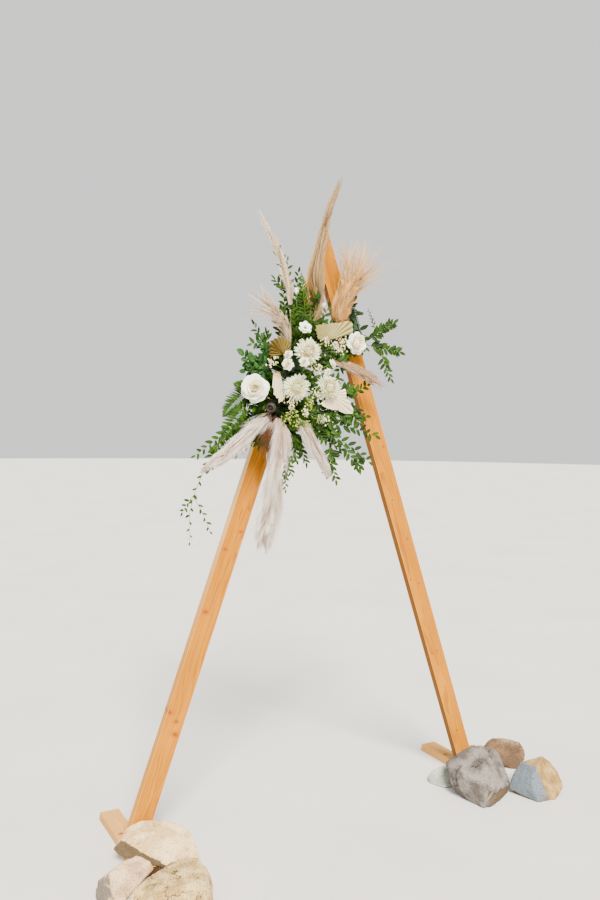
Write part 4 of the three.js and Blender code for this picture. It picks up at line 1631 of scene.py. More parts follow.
@dataclass
class Spray:
    """Leafy stems that part from one another, or several from one cage; radius in millimetres."""

    name: str
    slot: str
    finish: Leaf
    twigs: tuple[Twig, ...]
    radius: float = 1.9
    more: float = 1.45
    shoots: int = 2
    widest: float = 0.42
    point: float = 0.6
    pinnate: bool = False
    loose: float = 1.0
    extra: bool = False

    SHOOT_TO, SHOOT_OUT, SHOOT_FORWARD = 0.8, (0.5, 1.0), (-0.1, 0.5)
    SHOOT_REACH, SHOOT_DROOP, SHOOT_BEND = (0.16, 0.28), 0.12, 0.55
    SHOOT_LEAVES, SHOOT_SIZE, SHOOT_START, SHOOT_TAPER = 0.4, 0.9, 0.25, 0.75
    LAST_LEAF, END_SPREAD = 0.985, 0.15
    LEAF_SPREAD, LEAF_FORWARD, LEAF_SIZE = (0.65, 1.15), (-0.35, 0.6), (0.9, 1.25)
    LEAF_UP, LEAF_ASIDE = (-0.1, 0.7), (-0.5, 0.5)
    LEAF_FOLD, LEAF_CURL = (0.1, 0.45), (-0.05, 0.22)
    PINNAE, LAST_PINNA, PINNA_WIDTH = 1.2, 0.98, 0.5
    PINNA_SPREAD, PINNA_SIZE, PINNA_UP = (0.92, 1.08), (0.9, 1.05), (0.1, 0.5)
    PINNA = {"widest": 0.35, "point": 0.6, "fold": 0.2, "curl": 0.12}

    def build(self) -> bpy.types.Object:
        """Sets the leaves in turn along each stem.

        Returns:
            The spray.
        """
        chance = random.Random(self.name)
        leaves = Cluster()
        fork = Path(self.twigs[0].route).at(0.5)
        for number, twig in enumerate(self.twigs):
            path = Path(twig.route if self.extra or number == 0 else (fork, *twig.route))
            leaves.add(tube(path, (self.radius * MM, 0.7 * self.radius * MM, 0.6 * MM)), 0.1)
            if self.pinnate:
                self.feather(leaves, path, twig, chance)
            else:
                self.scatter(leaves, path, twig, chance)
                for _ in range(self.shoots):
                    self.branch(leaves, path, twig, chance)
        piece = leaves.build("foliage_" + self.name, self.finish.material())
        return stands_for(piece, self.slot, *(() if self.extra else (self.name,)))

    def branch(self, leaves: Cluster, path: Path, twig: Twig, chance: random.Random) -> None:
        """Lets a short side shoot with its own leaves part from a stem.

        Args:
            leaves: The piece that it joins.
            path: The stem.
            twig: The stem's leaves.
            chance: The source of its small differences.
        """
        t = chance.uniform(twig.start, self.SHOOT_TO)
        side = chance.choice((-1, 1)) * unit(np.cross(path.way(t), FRONT))
        out = side * chance.uniform(*self.SHOOT_OUT) + FRONT * chance.uniform(*self.SHOOT_FORWARD)
        way = unit(path.way(t) + out)
        reach = path.length * chance.uniform(*self.SHOOT_REACH)
        start = path.at(t)
        end = start + way * reach - UP * self.SHOOT_DROOP * reach
        shoot = Path((start, start + way * self.SHOOT_BEND * reach, end))
        leaves.add(tube(shoot, (0.6 * self.radius * MM, 0.5 * MM)), 0.2)
        few = max(3, round(self.SHOOT_LEAVES * twig.count))
        # A shoot's leaves are fewer and a little smaller than its stem's.
        long, wide = self.SHOOT_SIZE * twig.length, self.SHOOT_SIZE * twig.width
        own = Twig((), few, long, wide, self.SHOOT_START, twig.spread, self.SHOOT_TAPER)
        self.scatter(leaves, shoot, own, chance)

    def scatter(self, leaves: Cluster, path: Path, twig: Twig, chance: random.Random) -> None:
        """Sets broad leaves round the stem, each turned and curled a little its own way.

        Args:
            leaves: The piece that they join.
            path: The stem.
            twig: The leaves' number, size and stance.
            chance: The source of their small differences.
        """
        count = round(twig.count * self.more)
        for i in range(count + 1):
            share = i / count
            t = twig.start + (self.LAST_LEAF - twig.start) * share
            along = path.way(t)
            side = (1 if i % 2 else -1) * unit(np.cross(along, FRONT))
            last = i == count
            spread = self.END_SPREAD if last else twig.spread * chance.uniform(*self.LEAF_SPREAD)
            out = side + FRONT * self.loose * chance.uniform(*self.LEAF_FORWARD)
            direction = along * math.cos(spread) + unit(out) * math.sin(spread)
            size = (1 - (1 - twig.taper) * share) * chance.uniform(*self.LEAF_SIZE) * MM
            lean = UP * chance.uniform(*self.LEAF_UP) + side * chance.uniform(*self.LEAF_ASIDE)
            fold, curl = chance.uniform(*self.LEAF_FOLD), chance.uniform(*self.LEAF_CURL)
            one = blade(twig.length * size, twig.width * size, self.widest, self.point, fold, curl)
            facing = FRONT + self.loose * lean
            leaves.add(placed(LEAF_SHEET, one, path.at(t), direction, facing), chance.random())

    def feather(self, leaves: Cluster, path: Path, twig: Twig, chance: random.Random) -> None:
        """Sets narrow leaflets in two even rows, as on a fern's frond.

        Args:
            leaves: The piece that they join.
            path: The frond's stem.
            twig: The leaflets' number, size and stance.
            chance: The source of their small differences.
        """
        count = round(self.PINNAE * twig.count * self.more)
        for i in range(2 * count):
            share = (i // 2) / count
            t = twig.start + (self.LAST_PINNA - twig.start) * share
            along = path.way(t)
            side = (1 if i % 2 else -1) * unit(np.cross(along, FRONT + 0.3 * UP))
            spread = twig.spread * (1 - 0.3 * share) * chance.uniform(*self.PINNA_SPREAD)
            direction = along * math.cos(spread) + side * math.sin(spread)
            size = math.sin(math.pi * min(0.98, 0.22 + 0.8 * share)) ** 0.8
            size = size * chance.uniform(*self.PINNA_SIZE) * MM
            width = self.PINNA_WIDTH * twig.width * MM
            one = blade(twig.length * size, width, **self.PINNA)
            facing = FRONT + UP * chance.uniform(*self.PINNA_UP)
            leaves.add(placed(PINNA_SHEET, one, path.at(t), direction, facing), chance.random())


def placed(
    sheet: Shape, surface: Surface, start: np.ndarray, along: np.ndarray, facing: np.ndarray
) -> Shape:
    """Lays a leaf's surface out from where it joins its stem.

    Args:
        sheet: The flat sheet.
        surface: The leaf's surface on its own axes.
        start: Where it joins the stem.
        along: The way it runs.
        facing: The way its face looks.

    Returns:
        The leaf in place.
    """
    flat = laid(sheet, surface, LEAF_THICKNESS)
    return flat.moved(start + flat.points @ np.array(axes(along, facing)))


@dataclass
class Collar:
    """Broad leaves pushed into a cage all round, which hide it behind the flowers."""

    name: str
    cage: Cage
    finish: Leaf
    count: int
    length: float = 84.0
    width: float = 34.0
    proud: float = 34.0
    behind: float = 0.25
    widest: float = 0.45
    point: float = 0.7

    FAR_OUT = 0.95
    INNER = (0.4, 0.35, 0.6)
    LEAF_SIZE, LEAF_FOLD, LEAF_CURL = (0.7, 1.15), (0.1, 0.4), (0.0, 0.25)
    FORWARD, FACE_UP, FACE_OUT = (0.1, 0.7), (0.0, 0.9), (-0.4, 0.4)

    def build(self) -> bpy.types.Object:
        """Sets leaves on the cage's front, sides and ends, each outward.

        Returns:
            The collar of leaves.
        """
        chance = random.Random(self.name)
        leaves = Cluster()
        cage = self.cage
        high, wide, deep = self.INNER
        for _ in range(self.count):
            along = chance.uniform(-0.5, 0.5) * (cage.length + 2 * self.proud)
            across = chance.uniform(-0.5, 0.5) * (cage.width + 2 * self.proud)
            out = cage.depth * chance.uniform(self.behind, self.FAR_OUT)
            # Each leaf's stalk starts well inside the foam and points at its own place outside.
            inner = cage.spot(
                max(-high, min(high, along / cage.length)) * cage.length,
                max(-wide, min(wide, across / cage.width)) * cage.width,
                deep * cage.depth,
            )
            outer = cage.spot(along, across, out + 0.25 * self.proud)
            fan_out = unit(outer - inner + 1e-6)
            lean = FRONT * chance.uniform(*self.FORWARD) + 0.3 * UP * chance.uniform(-1, 1)
            direction = unit(fan_out + lean)
            size = chance.uniform(*self.LEAF_SIZE) * MM
            fold, curl = chance.uniform(*self.LEAF_FOLD), chance.uniform(*self.LEAF_CURL)
            sizes = self.length * size, self.width * size
            one = blade(*sizes, self.widest, self.point, fold, curl)
            facing = FRONT + UP * chance.uniform(*self.FACE_UP)
            facing = facing + fan_out * chance.uniform(*self.FACE_OUT)
            leaves.add(placed(LEAF_SHEET, one, outer, direction, facing), chance.random())
            stalk = Path((inner, (inner + outer) / 2 + FRONT * 4 * MM, outer))
            leaves.add(tube(stalk, (1.4 * MM, 1.0 * MM)), 0.1)
        return stands_for(leaves.build(self.name, self.finish.material()), "leaf")


def bead() -> Shape:
    """Makes a small round floret of a few faces.

    Returns:
        The floret, one unit in radius.
    """
    bm = bmesh.new()
    bmesh.ops.create_icosphere(bm, subdivisions=2, radius=1.0)
    return Shape.of(bm)


@dataclass
class Filler:
    """Sprigs of tiny florets that fill the gaps; sizes in millimetres."""

    name: str
    slot: str
    finish: Finish
    sprigs: tuple[Route, ...]
    florets: int = 26
    reach: float = 34.0
    floret: float = 3.6

    OUTWARD = 0.9
    BRANCH_REACH, FLORET_SIZE = (0.35, 1.0), (0.6, 1.15)
    FLORET_SHAPE = (1, 1, 1.25)
    BRANCH_FROM = 0.85

    def build(self) -> None:
        """Branches each sprig and puts a floret on each branch's end."""
        chance = random.Random(self.name)
        heads, stems = Cluster(), Cluster()
        one = bead()
        for start, end in self.sprigs:
            middle = (start + end) / 2 + FRONT * 10 * MM
            path = Path((start, middle, end))
            stems.add(tube(path, (1.4 * MM, 1.0 * MM)), 0.3)
            for _ in range(self.florets):
                way = unit([chance.gauss(0, 1) for _ in range(3)])
                way = unit(way + self.OUTWARD * path.way(1.0))
                place = end + way * self.reach * chance.uniform(*self.BRANCH_REACH) * MM
                size = self.floret * chance.uniform(*self.FLORET_SIZE) * MM
                round_one = one.moved(one.points * size * self.FLORET_SHAPE + place)
                heads.add(round_one, chance.random())
                stalk = Path((path.at(self.BRANCH_FROM), (path.at(1.0) + place) / 2, place))
                stems.add(tube(stalk, (0.5 * MM,)), 0.5)
        stands_for(heads.build("florets_" + self.name, self.finish.material()), self.slot)
        stands_for(stems.build("sprigs_" + self.name, STEM_GREEN.material()), "leaf")


@dataclass
class GrassTuft:
    """Loose dry grass that hangs from the left cage; sizes in millimetres."""

    finish: Feather
    blades: int = 190
    width: float = 4.8
    spread: Point = (32.0, 8.0, 44.0)
    ends: Point = (-394.0, -192.0, 1694.0)

    SEED = 7
    ROOTS = ((-142, -44), (-104, 4))
    BEND, FORWARD = 14, 16

    def build(self) -> bpy.types.Object:
        """Pushes the blades into the foam and lets them hang, each its own way.

        Returns:
            The tuft.
        """
        dice = np.random.default_rng(self.SEED)
        tuft = Cluster()
        places = dice.uniform(*self.ROOTS, (self.blades, 2))
        roots = np.array([LEFT.front(along, across)[0] for along, across in places])
        low = at(self.ends) + dice.normal(0, 1, (self.blades, 3)) * self.spread * MM
        bends = dice.normal(0, self.BEND, (self.blades, 3)) * MM + FRONT * self.FORWARD * MM
        shade = np.repeat(dice.uniform(0, 1, self.blades), len(THREAD.points))
        ways = low - roots - bends
        side = unit(np.cross(ways, UP + 0.01))
        other = unit(np.cross(ways, side))
        x, y, t = (THREAD.points[:, i : i + 1] for i in range(3))
        middle = roots[:, None] + ways[:, None] * t + bends[:, None] * t * t
        section = side[:, None] * x + other[:, None] * y
        tuft.add(copies(THREAD, middle + section * self.width / 2 * MM), shade)
        return stands_for(tuft.build("dry_grass", self.finish.material()), "tan_pampas")


# The pieces, with their places in millimetres from the arch's origin.


def branch_of(*points: Point) -> Route:
    """Returns a side stem's route, which starts at the main stem's middle."""
    return tuple(map(at, points))


def petal(name: str, dark: str, light: str, base: str, base_reach: float = 0.35) -> Leaf:
    """Returns the finish of soft petals, each its own tone, with light coming through them."""
    # Each petal is creamier towards its base: the flowers' own cream, with painted shade deep in
    # the head.
    return Leaf(
        name, 0.6, 0.2, 0.5 * MM, 0.1, glow=0.4, shine=0.15, dark=dark, light=light, rib=light,
        rib_width=0.05, base=base, base_reach=base_reach, rim=light, rim_share=0.3, veins=5.0,
    )


def foliage(name: str, roughness: float, dark: str, light: str, rib: str, base: str) -> Leaf:
    """Returns the finish of green leaves, dull on top, with their ribs."""
    return Leaf(
        name, roughness, 0.3, 0.8 * MM, shine=0.12, dark=dark, light=light, rib=rib, base=base,
        base_reach=0.2, rim=light, rim_share=0.3,
    )


def palm(name: str, dark: str, light: str, base: str) -> Leaf:
    """Returns the finish of dried palm leaf with its fine ribs, paler at the cut rim."""
    return Leaf(
        name, 0.6, 0.4, 0.8 * MM, dark=dark, light=light, rib=light, rib_width=1e-4, base=base,
        base_reach=0.25, rim=light, rim_share=0.5, veins=30.0,
    )


def pampas(name: str, root: str, tip: str, streak: str) -> Feather:
    """Returns the finish of dried pampas hairs, soft and without a highlight."""
    return Feather(name, 0.95, 0.1, 0.4 * MM, 0.2, root, tip, streak)


def leg(side: str, hand: int, pith: tuple[float, float], *knots: Knot) -> Board:
    """Makes a leg of the frame.

    Args:
        side: Which leg it is.
        hand: -1 for the left one and 1 for the right one.
        pith: How far the log's pith is from the board's middle, in millimetres.
        knots: The knots in its front.

    Returns:
        The leg.
    """
    finish = StainedPine(
        "honey_stained_pine_" + side, 0.6, 0.2, 0.6 * MM, shine=0.12, outward=float(hand),
        pith=pith, knots=knots, middle=tuple(at((hand * 899.6, 19, 38))),
        turn=(0.0, -hand * TILT, 0.0),
    )
    return Board(side + "_leg", "pine", finish)


def foot(side: str, hand: int, pith: tuple[float, float], *knots: Knot) -> Board:
    """Makes a foot board, which is paler and more worn than the legs.

    Args:
        side: Which foot it is.
        hand: -1 for the left one and 1 for the right one.
        pith: How far the log's pith is from the board's middle, in millimetres.
        knots: The knots in its top.

    Returns:
        The foot.
    """
    # The near-black ends are painted shade, for the feet's front ends that sit in shadow between
    # the stones.
    finish = StainedPine(
        f"worn_pine_{side}_foot", 0.65, 0.25, 0.7 * MM, shine=0.15, light="#D2A25C",
        dark="#B07A36", end_grain="#1E1006", pith=pith, knots=knots,
        middle=tuple(at((hand * 902.1, 0, 19))), turn=(-math.pi / 2, 0.0, 0.0),
    )
    return Board(side + "_foot", "pine_foot", finish)


# Each palette gives its kind one dark and one light tone, so no two leaves or hairs are alike.
STEM_GREEN = foliage("green_stem", 0.6, "#2B3F12", "#506C24", "#506C24", "#2B3F12")
WHITE_ROSE = petal("white_rose_petal", "#F3DAA4", "#FFFBEE", "#EAD09A", 0.4)
WHITE_MUM = petal("white_chrysanthemum_petal", "#F2E2A0", "#FFFCE0", "#D6C470", 0.34)
CREAM_ROSE = petal("cream_spray_rose_petal", "#EBCF98", "#FCF6E4", "#D8BE7C", 0.4)
BELL = petal("white_lisianthus_petal", "#F6F0DC", "#FFFCF0", "#B4C08A", 0.4)
SEED_CASE = petal("pale_seed_case", "#A5A874", "#D8D8AC", "#7F8152", 0.4)
EMERALD = foliage("dark_glossy_leaf", 0.45, "#0B1C04", "#2B4908", "#47641A", "#142806")
OLIVE = foliage("soft_green_leaf", 0.5, "#0F2404", "#30500A", "#4C6C18", "#1C3406")
BLUE = foliage("eucalyptus_leaf", 0.6, "#10290E", "#335A26", "#57803E", "#1E3C18")
FERN_GREEN = foliage("fern_leaflet", 0.55, "#0C2202", "#2C4C06", "#44680C", "#152F04")
GOLD_PALM = palm("gilded_palm", "#342808", "#8C7634", "#423610")
PALE_PALM = palm("dried_pale_palm", "#6E6630", "#A0965A", "#625A2A")
CREAM_PALM = palm("bleached_palm", "#A89060", "#F4ECD0", "#A67E44")
GREY_PLUME = pampas("grey_pampas_hair", "#6A4A22", "#B8965C", "#6C5A42")
THIN_PLUME = pampas("cream_pampas_hair", "#B89E74", "#E8D8BA", "#B89C7C")
TAN_PLUME = pampas("tan_pampas_hair", "#A88A5C", "#E6D2AE", "#9C866C")
RUST_PLUME = pampas("rust_pampas_hair", "#A66E1E", "#ECB866", "#9C743E")
PINK_PLUME = pampas("dusty_pink_pampas_hair", "#A27C52", "#CFB08A", "#AC8260")
BLUSH_PLUME = pampas("blush_pampas_hair", "#A88058", "#FFFBEE", "#B4866A")

BOARDS = (
    leg("left", -1, (14.0, 62.0), Knot(-17, 1001, 7), Knot(-41, 565, 8), Knot(2, 525, 6),
        Knot(21, 472, 9), Knot(-24, 1284, 6), Knot(24, 1380, 5), Knot(10, 1790, 6),
        Knot(-20, 2200, 7)),
    leg("right", 1, (-30.0, 74.0), Knot(23, 1761, 3.5), Knot(-6, 1495, 3), Knot(14, 1284, 4),
        Knot(-29, 1075, 3.5), Knot(12, 1040, 3), Knot(1, 664, 4), Knot(-5, 202, 3.5),
        Knot(-18, 2260, 4)),
    foot("left", -1, (14.0, 62.0), Knot(-18, 120, 6), Knot(24, -180, 7)),
    foot("right", 1, (20.0, 70.0), Knot(14, -140, 7), Knot(-22, 150, 5)),
)

# Each stone's second tone is painted shading: painted shade on the slab's lower left, the long
# stone's left side, the big stone's lower right, the ridge's left face, where it also gives the
# stone's own bluish tone, and the undersides of the rough, low and small stones; painted light on
# the back stone's top.
STONES = (
    Stone("left_stone_slab", "sand_stone", FieldStone(
        "cream_limestone", 0.9, 0.9, 4 * MM, 0.0, "#EDD09E", "#D0AE78", "#7A6240", "#5E4E38",
        toward=(-0.8, -0.1, -0.9), turned_from=0.3, cracks=0.3, shine=0.2)),
    Stone("left_stone_long", "pink_stone", FieldStone(
        "pinkish_limestone", 0.9, 0.8, 4 * MM, 0.0, "#DCBE96", "#BE9C78", "#645038", "#6C645A",
        toward=(-1.0, -0.1, -0.1), turned_from=0.64, cracks=0.25, shine=0.2)),
    Stone("left_stone_rough", "sand_stone", FieldStone(
        "pitted_yellow_limestone", 0.92, 1.0, 6 * MM, 0.0, "#E0C48A", "#B4935A", "#3A2E1C",
        "#5C4A30", toward=(-0.6, 0.0, -1.0), turned_from=0.4, cracks=0.7, shine=0.2),
        pits=8 * MM),
    Stone("right_stone_big", "grey_stone", FieldStone(
        "lilac_grey_stone", 0.88, 0.9, 4 * MM, 0.0, "#857E77", "#58504A", "#241E1A", "#5C4A32",
        toward=(0.7, -0.25, -0.7), turned_from=0.4, cracks=1.0, shine=0.25)),
    Stone("right_stone_ridge", "ochre_stone", FieldStone(
        "ochre_split_stone", 0.9, 0.6, 3 * MM, 0.0, "#B2925A", "#8A6C3A", "#3E301A", "#66717A",
        toward=(-1.0, -0.25, 0.1), turned_from=0.5, cracks=0.3, shine=0.25)),
    Stone("right_stone_back", "tan_stone", FieldStone(
        "brown_field_stone", 0.92, 0.7, 3 * MM, 0.0, "#75583A", "#59432C", "#241A0E", "#8E7A64",
        toward=(-0.4, -0.2, 1.0), turned_from=0.98, cracks=0.3)),
    Stone("right_stone_low", "tan_stone", FieldStone(
        "tan_field_stone", 0.92, 0.7, 3 * MM, 0.0, "#826844", "#6C5434", "#382A18", "#6E5A3E",
        toward=(0.0, 0.0, -1.0), turned_from=0.8, cracks=0.3)),
    Stone("right_stone_small", "grey_stone", FieldStone(
        "pale_grey_stone", 0.88, 0.6, 3 * MM, 0.0, "#B6BAB0", "#9A9E92", "#5A5A50", "#A39C94",
        toward=(0.0, 0.0, -1.0), turned_from=0.8, cracks=0.2)),
)

FLOWERS = (
    Flower("rose_large", "white_petal", WHITE_ROSE, (
        Stem(LEFT.flank(0, -1, 40, (-330, -75, 1968), (-428, -140, 1962)),
             ROSE, 3.5, 1.04, (-0.55, -1, 0.05)),
    )),
    Flower("mum_middle", "white_petal", WHITE_MUM, (
        Stem(LEFT.front(0, 0, (-240, -140, 1972), (-252, -190, 1970)),
             LARGE_MUM, 3.5, 1.0, (-0.25, -1, 0)),
    )),
    Flower("mum_top", "white_petal", WHITE_MUM, (
        Stem(LEFT.front(122, 8, (-185, -130, 2110), (-195, -190, 2130)),
             LARGE_MUM, 3.5, 1.0, (-0.3, -1, 0.15)),
    )),
    Flower("mum_right", "white_petal", WHITE_MUM, (
        Stem(LEFT.flank(15, 1, 45, (-110, -85, 1980), (-60, -140, 1980)),
             LARGE_MUM, 3.5, 1.0, (0.05, -1, 0)),
    )),
    Flower("white_flower_right", "white_petal", WHITE_ROSE, (
        Stem(RIGHT.front(-52, 0, (118, -85, 2196), (96, -118, 2186)),
             CUP, 3.0, 0.96, (0.3, -0.95, -0.02)),
    )),
    Flower("lisianthus", "white_petal", BELL, (
        Stem(LEFT.end(1, -18, 48, (-178, -80, 2190), (-195, -160, 2236)), OPEN_BELL),
        Stem(branch_of((-130, -100, 2290), (-82, -108, 2340)), CLOSED_BUD, 1.8, 0.9),
        Stem(branch_of((-205, -100, 2320), (-214, -112, 2390)), CLOSED_BUD, 1.8, 0.95),
    )),
    Flower("spray_rose_left", "cream_petal", CREAM_ROSE, (
        Stem(LEFT.front(86, -26, (-235, -140, 2066), (-300, -195, 2068)), SMALL_ROSE, 2.5, 1.2),
        Stem(branch_of((-265, -165, 2095), (-292, -185, 2112)), SMALL_ROSE, 2.0, 0.9),
    )),
    Flower("spray_rose_middle", "cream_petal", CREAM_ROSE, (
        Stem(LEFT.front(62, 6, (-215, -180, 2045), (-262, -272, 2076)), SMALL_ROSE),
    )),
    Flower("spray_rose_right", "cream_petal", CREAM_ROSE, (
        Stem(LEFT.flank(78, 1, 48, (-100, -120, 2060), (-58, -165, 2085)), SMALL_ROSE),
        Stem(branch_of((-95, -155, 2050), (-92, -185, 2044)), SMALL_ROSE, 2.0, 0.75),
    )),
    Flower("seed_head", "seed", SEED_CASE, (
        Stem(LEFT.flank(-96, 1, 50, (-165, -110, 1850), (-104, -148, 1836)), SEED_CUPS),
    )),
)

FANS = (
    PalmFan("fan_golden", "gold_fan", GOLD_PALM,
            LEFT.flank(112, -1, 52, (-265, -110, 2078), (-290, -138, 2118)),
            (-39, 12, 92), 84, 6, 250, 11, fold=1.3, notch=8.0,
            cut=(0.86, 0.9, 1.0, 1.0, 0.93, 0.74, 0.54)),
    PalmFan("fan_pale", "pale_fan", PALE_PALM,
            LEFT.end(1, 22, 52, (-110, -118, 2160), (-54, -134, 2194)),
            (-15, 4, 98), 147, 8, 426, 16, fold=0.5, notch=3.0,
            cut=(0.41, 0.48, 0.63, 0.52, 0.48, 0.52, 0.64, 1.0, 0.86)),
    PalmFan("fan_folded", "cream_fan", CREAM_PALM,
            LEFT.flank(30, -1, 60, (-300, -130, 2020), (-333, -160, 2034)),
            (22, 12, -138), 138, 30, 84, 6, fold=0.9, notch=9.0,
            cut=(0.78, 0.95, 1.0, 0.98, 0.86, 0.7, 0.5)),
    PalmFan("fan_cream", "cream_fan", CREAM_PALM,
            LEFT.flank(-28, 1, 52, (-110, -110, 1938), (-40, -125, 1946)),
            (50, 4, -86), 153, 8, 433, 15, fold=0.5, notch=3.0,
            cut=(0.54, 0.56, 1.0, 0.51, 0.43, 0.41, 0.43)),
)

PLUMES = (
    Plume("plume_top", "grey_pampas", GREY_PLUME,
          LEFT.end(1, 8, 24, (-100, -95, 2330), (-102, -84, 2485), (-64, -72, 2650),
                 (-18, -62, 2800), (45, -55, 2940)),
          124, 0.2, Outline.SLENDER, 3.0, locks=80, reach=150.0, strays=26, stray_open=1.3),
    Plume("plume_top_left", "pale_pampas", THIN_PLUME,
          LEFT.end(1, -30, 24, (-230, -92, 2270), (-246, -98, 2405), (-280, -98, 2520),
                 (-326, -95, 2615), (-388, -87, 2735)),
          52, 0.3, locks=50, hairs=34, reach=110.0, strays=36, stray_open=1.2, stray_curl=12.0,
          stray_reach=2.6, end=0.72),
    Plume("plume_left", "tan_pampas", TAN_PLUME,
          LEFT.flank(134, -1, 50, (-250, -105, 2175), (-280, -118, 2250), (-355, -122, 2312),
                 (-455, -120, 2365)),
          112, 0.2, Outline.BRUSH, thinning=1.4, locks=44, hairs=28, reach=100.0, strays=44,
          stray_open=1.3, stray_curl=16.0, stray_reach=2.6, end=0.5),
    Plume("plume_top_right", "tan_pampas", RUST_PLUME,
          RIGHT.front(22, -6, (34, -105, 2288), (16, -112, 2350), (62, -116, 2440),
                 (100, -112, 2510), (152, -105, 2650)),
          150, 0.14, Outline.BUSH, 3.0, thinning=1.2, locks=120, hairs=38, reach=125.0, strays=80,
          stray_open=2.2, stray_curl=24.0, stray_reach=3.0, end=0.56, hair=0.7),
    Plume("plume_right", "pink_pampas", PINK_PLUME,
          LEFT.flank(108, 1, 22, (-60, -70, 2092), (20, -105, 2088), (120, -125, 2054),
                 (250, -128, 1995)),
          68, 0.34, strays=36, stray_curl=12.0, stray_reach=2.0, end=0.8),
    Plume("plume_lower_left", "pale_pampas", BLUSH_PLUME,
          LEFT.flank(-112, -1, 40, (-370, -125, 1828), (-465, -150, 1764), (-565, -165, 1692),
                 (-680, -175, 1618)),
          96, 0.12, stem=3.0, locks=80, hairs=48, strays=34, stray_open=1.2, stray_reach=0.9),
    Plume("plume_lower", "pale_pampas", BLUSH_PLUME,
          LEFT.front(-132, -8, (-306, -148, 1795), (-342, -178, 1650), (-366, -182, 1475),
                 (-402, -176, 1285)),
          140, 0.08, Outline.TORN, 3.0, locks=96, hairs=60, reach=130.0, strays=44, stray_open=1.2,
          stray_reach=0.8),
    Plume("plume_lower_right", "pale_pampas", BLUSH_PLUME,
          LEFT.flank(-138, 1, 55, (-185, -135, 1805), (-140, -155, 1715), (-92, -160, 1630),
                 (-58, -160, 1575)),
          84, 0.12, locks=72, hairs=46),
)

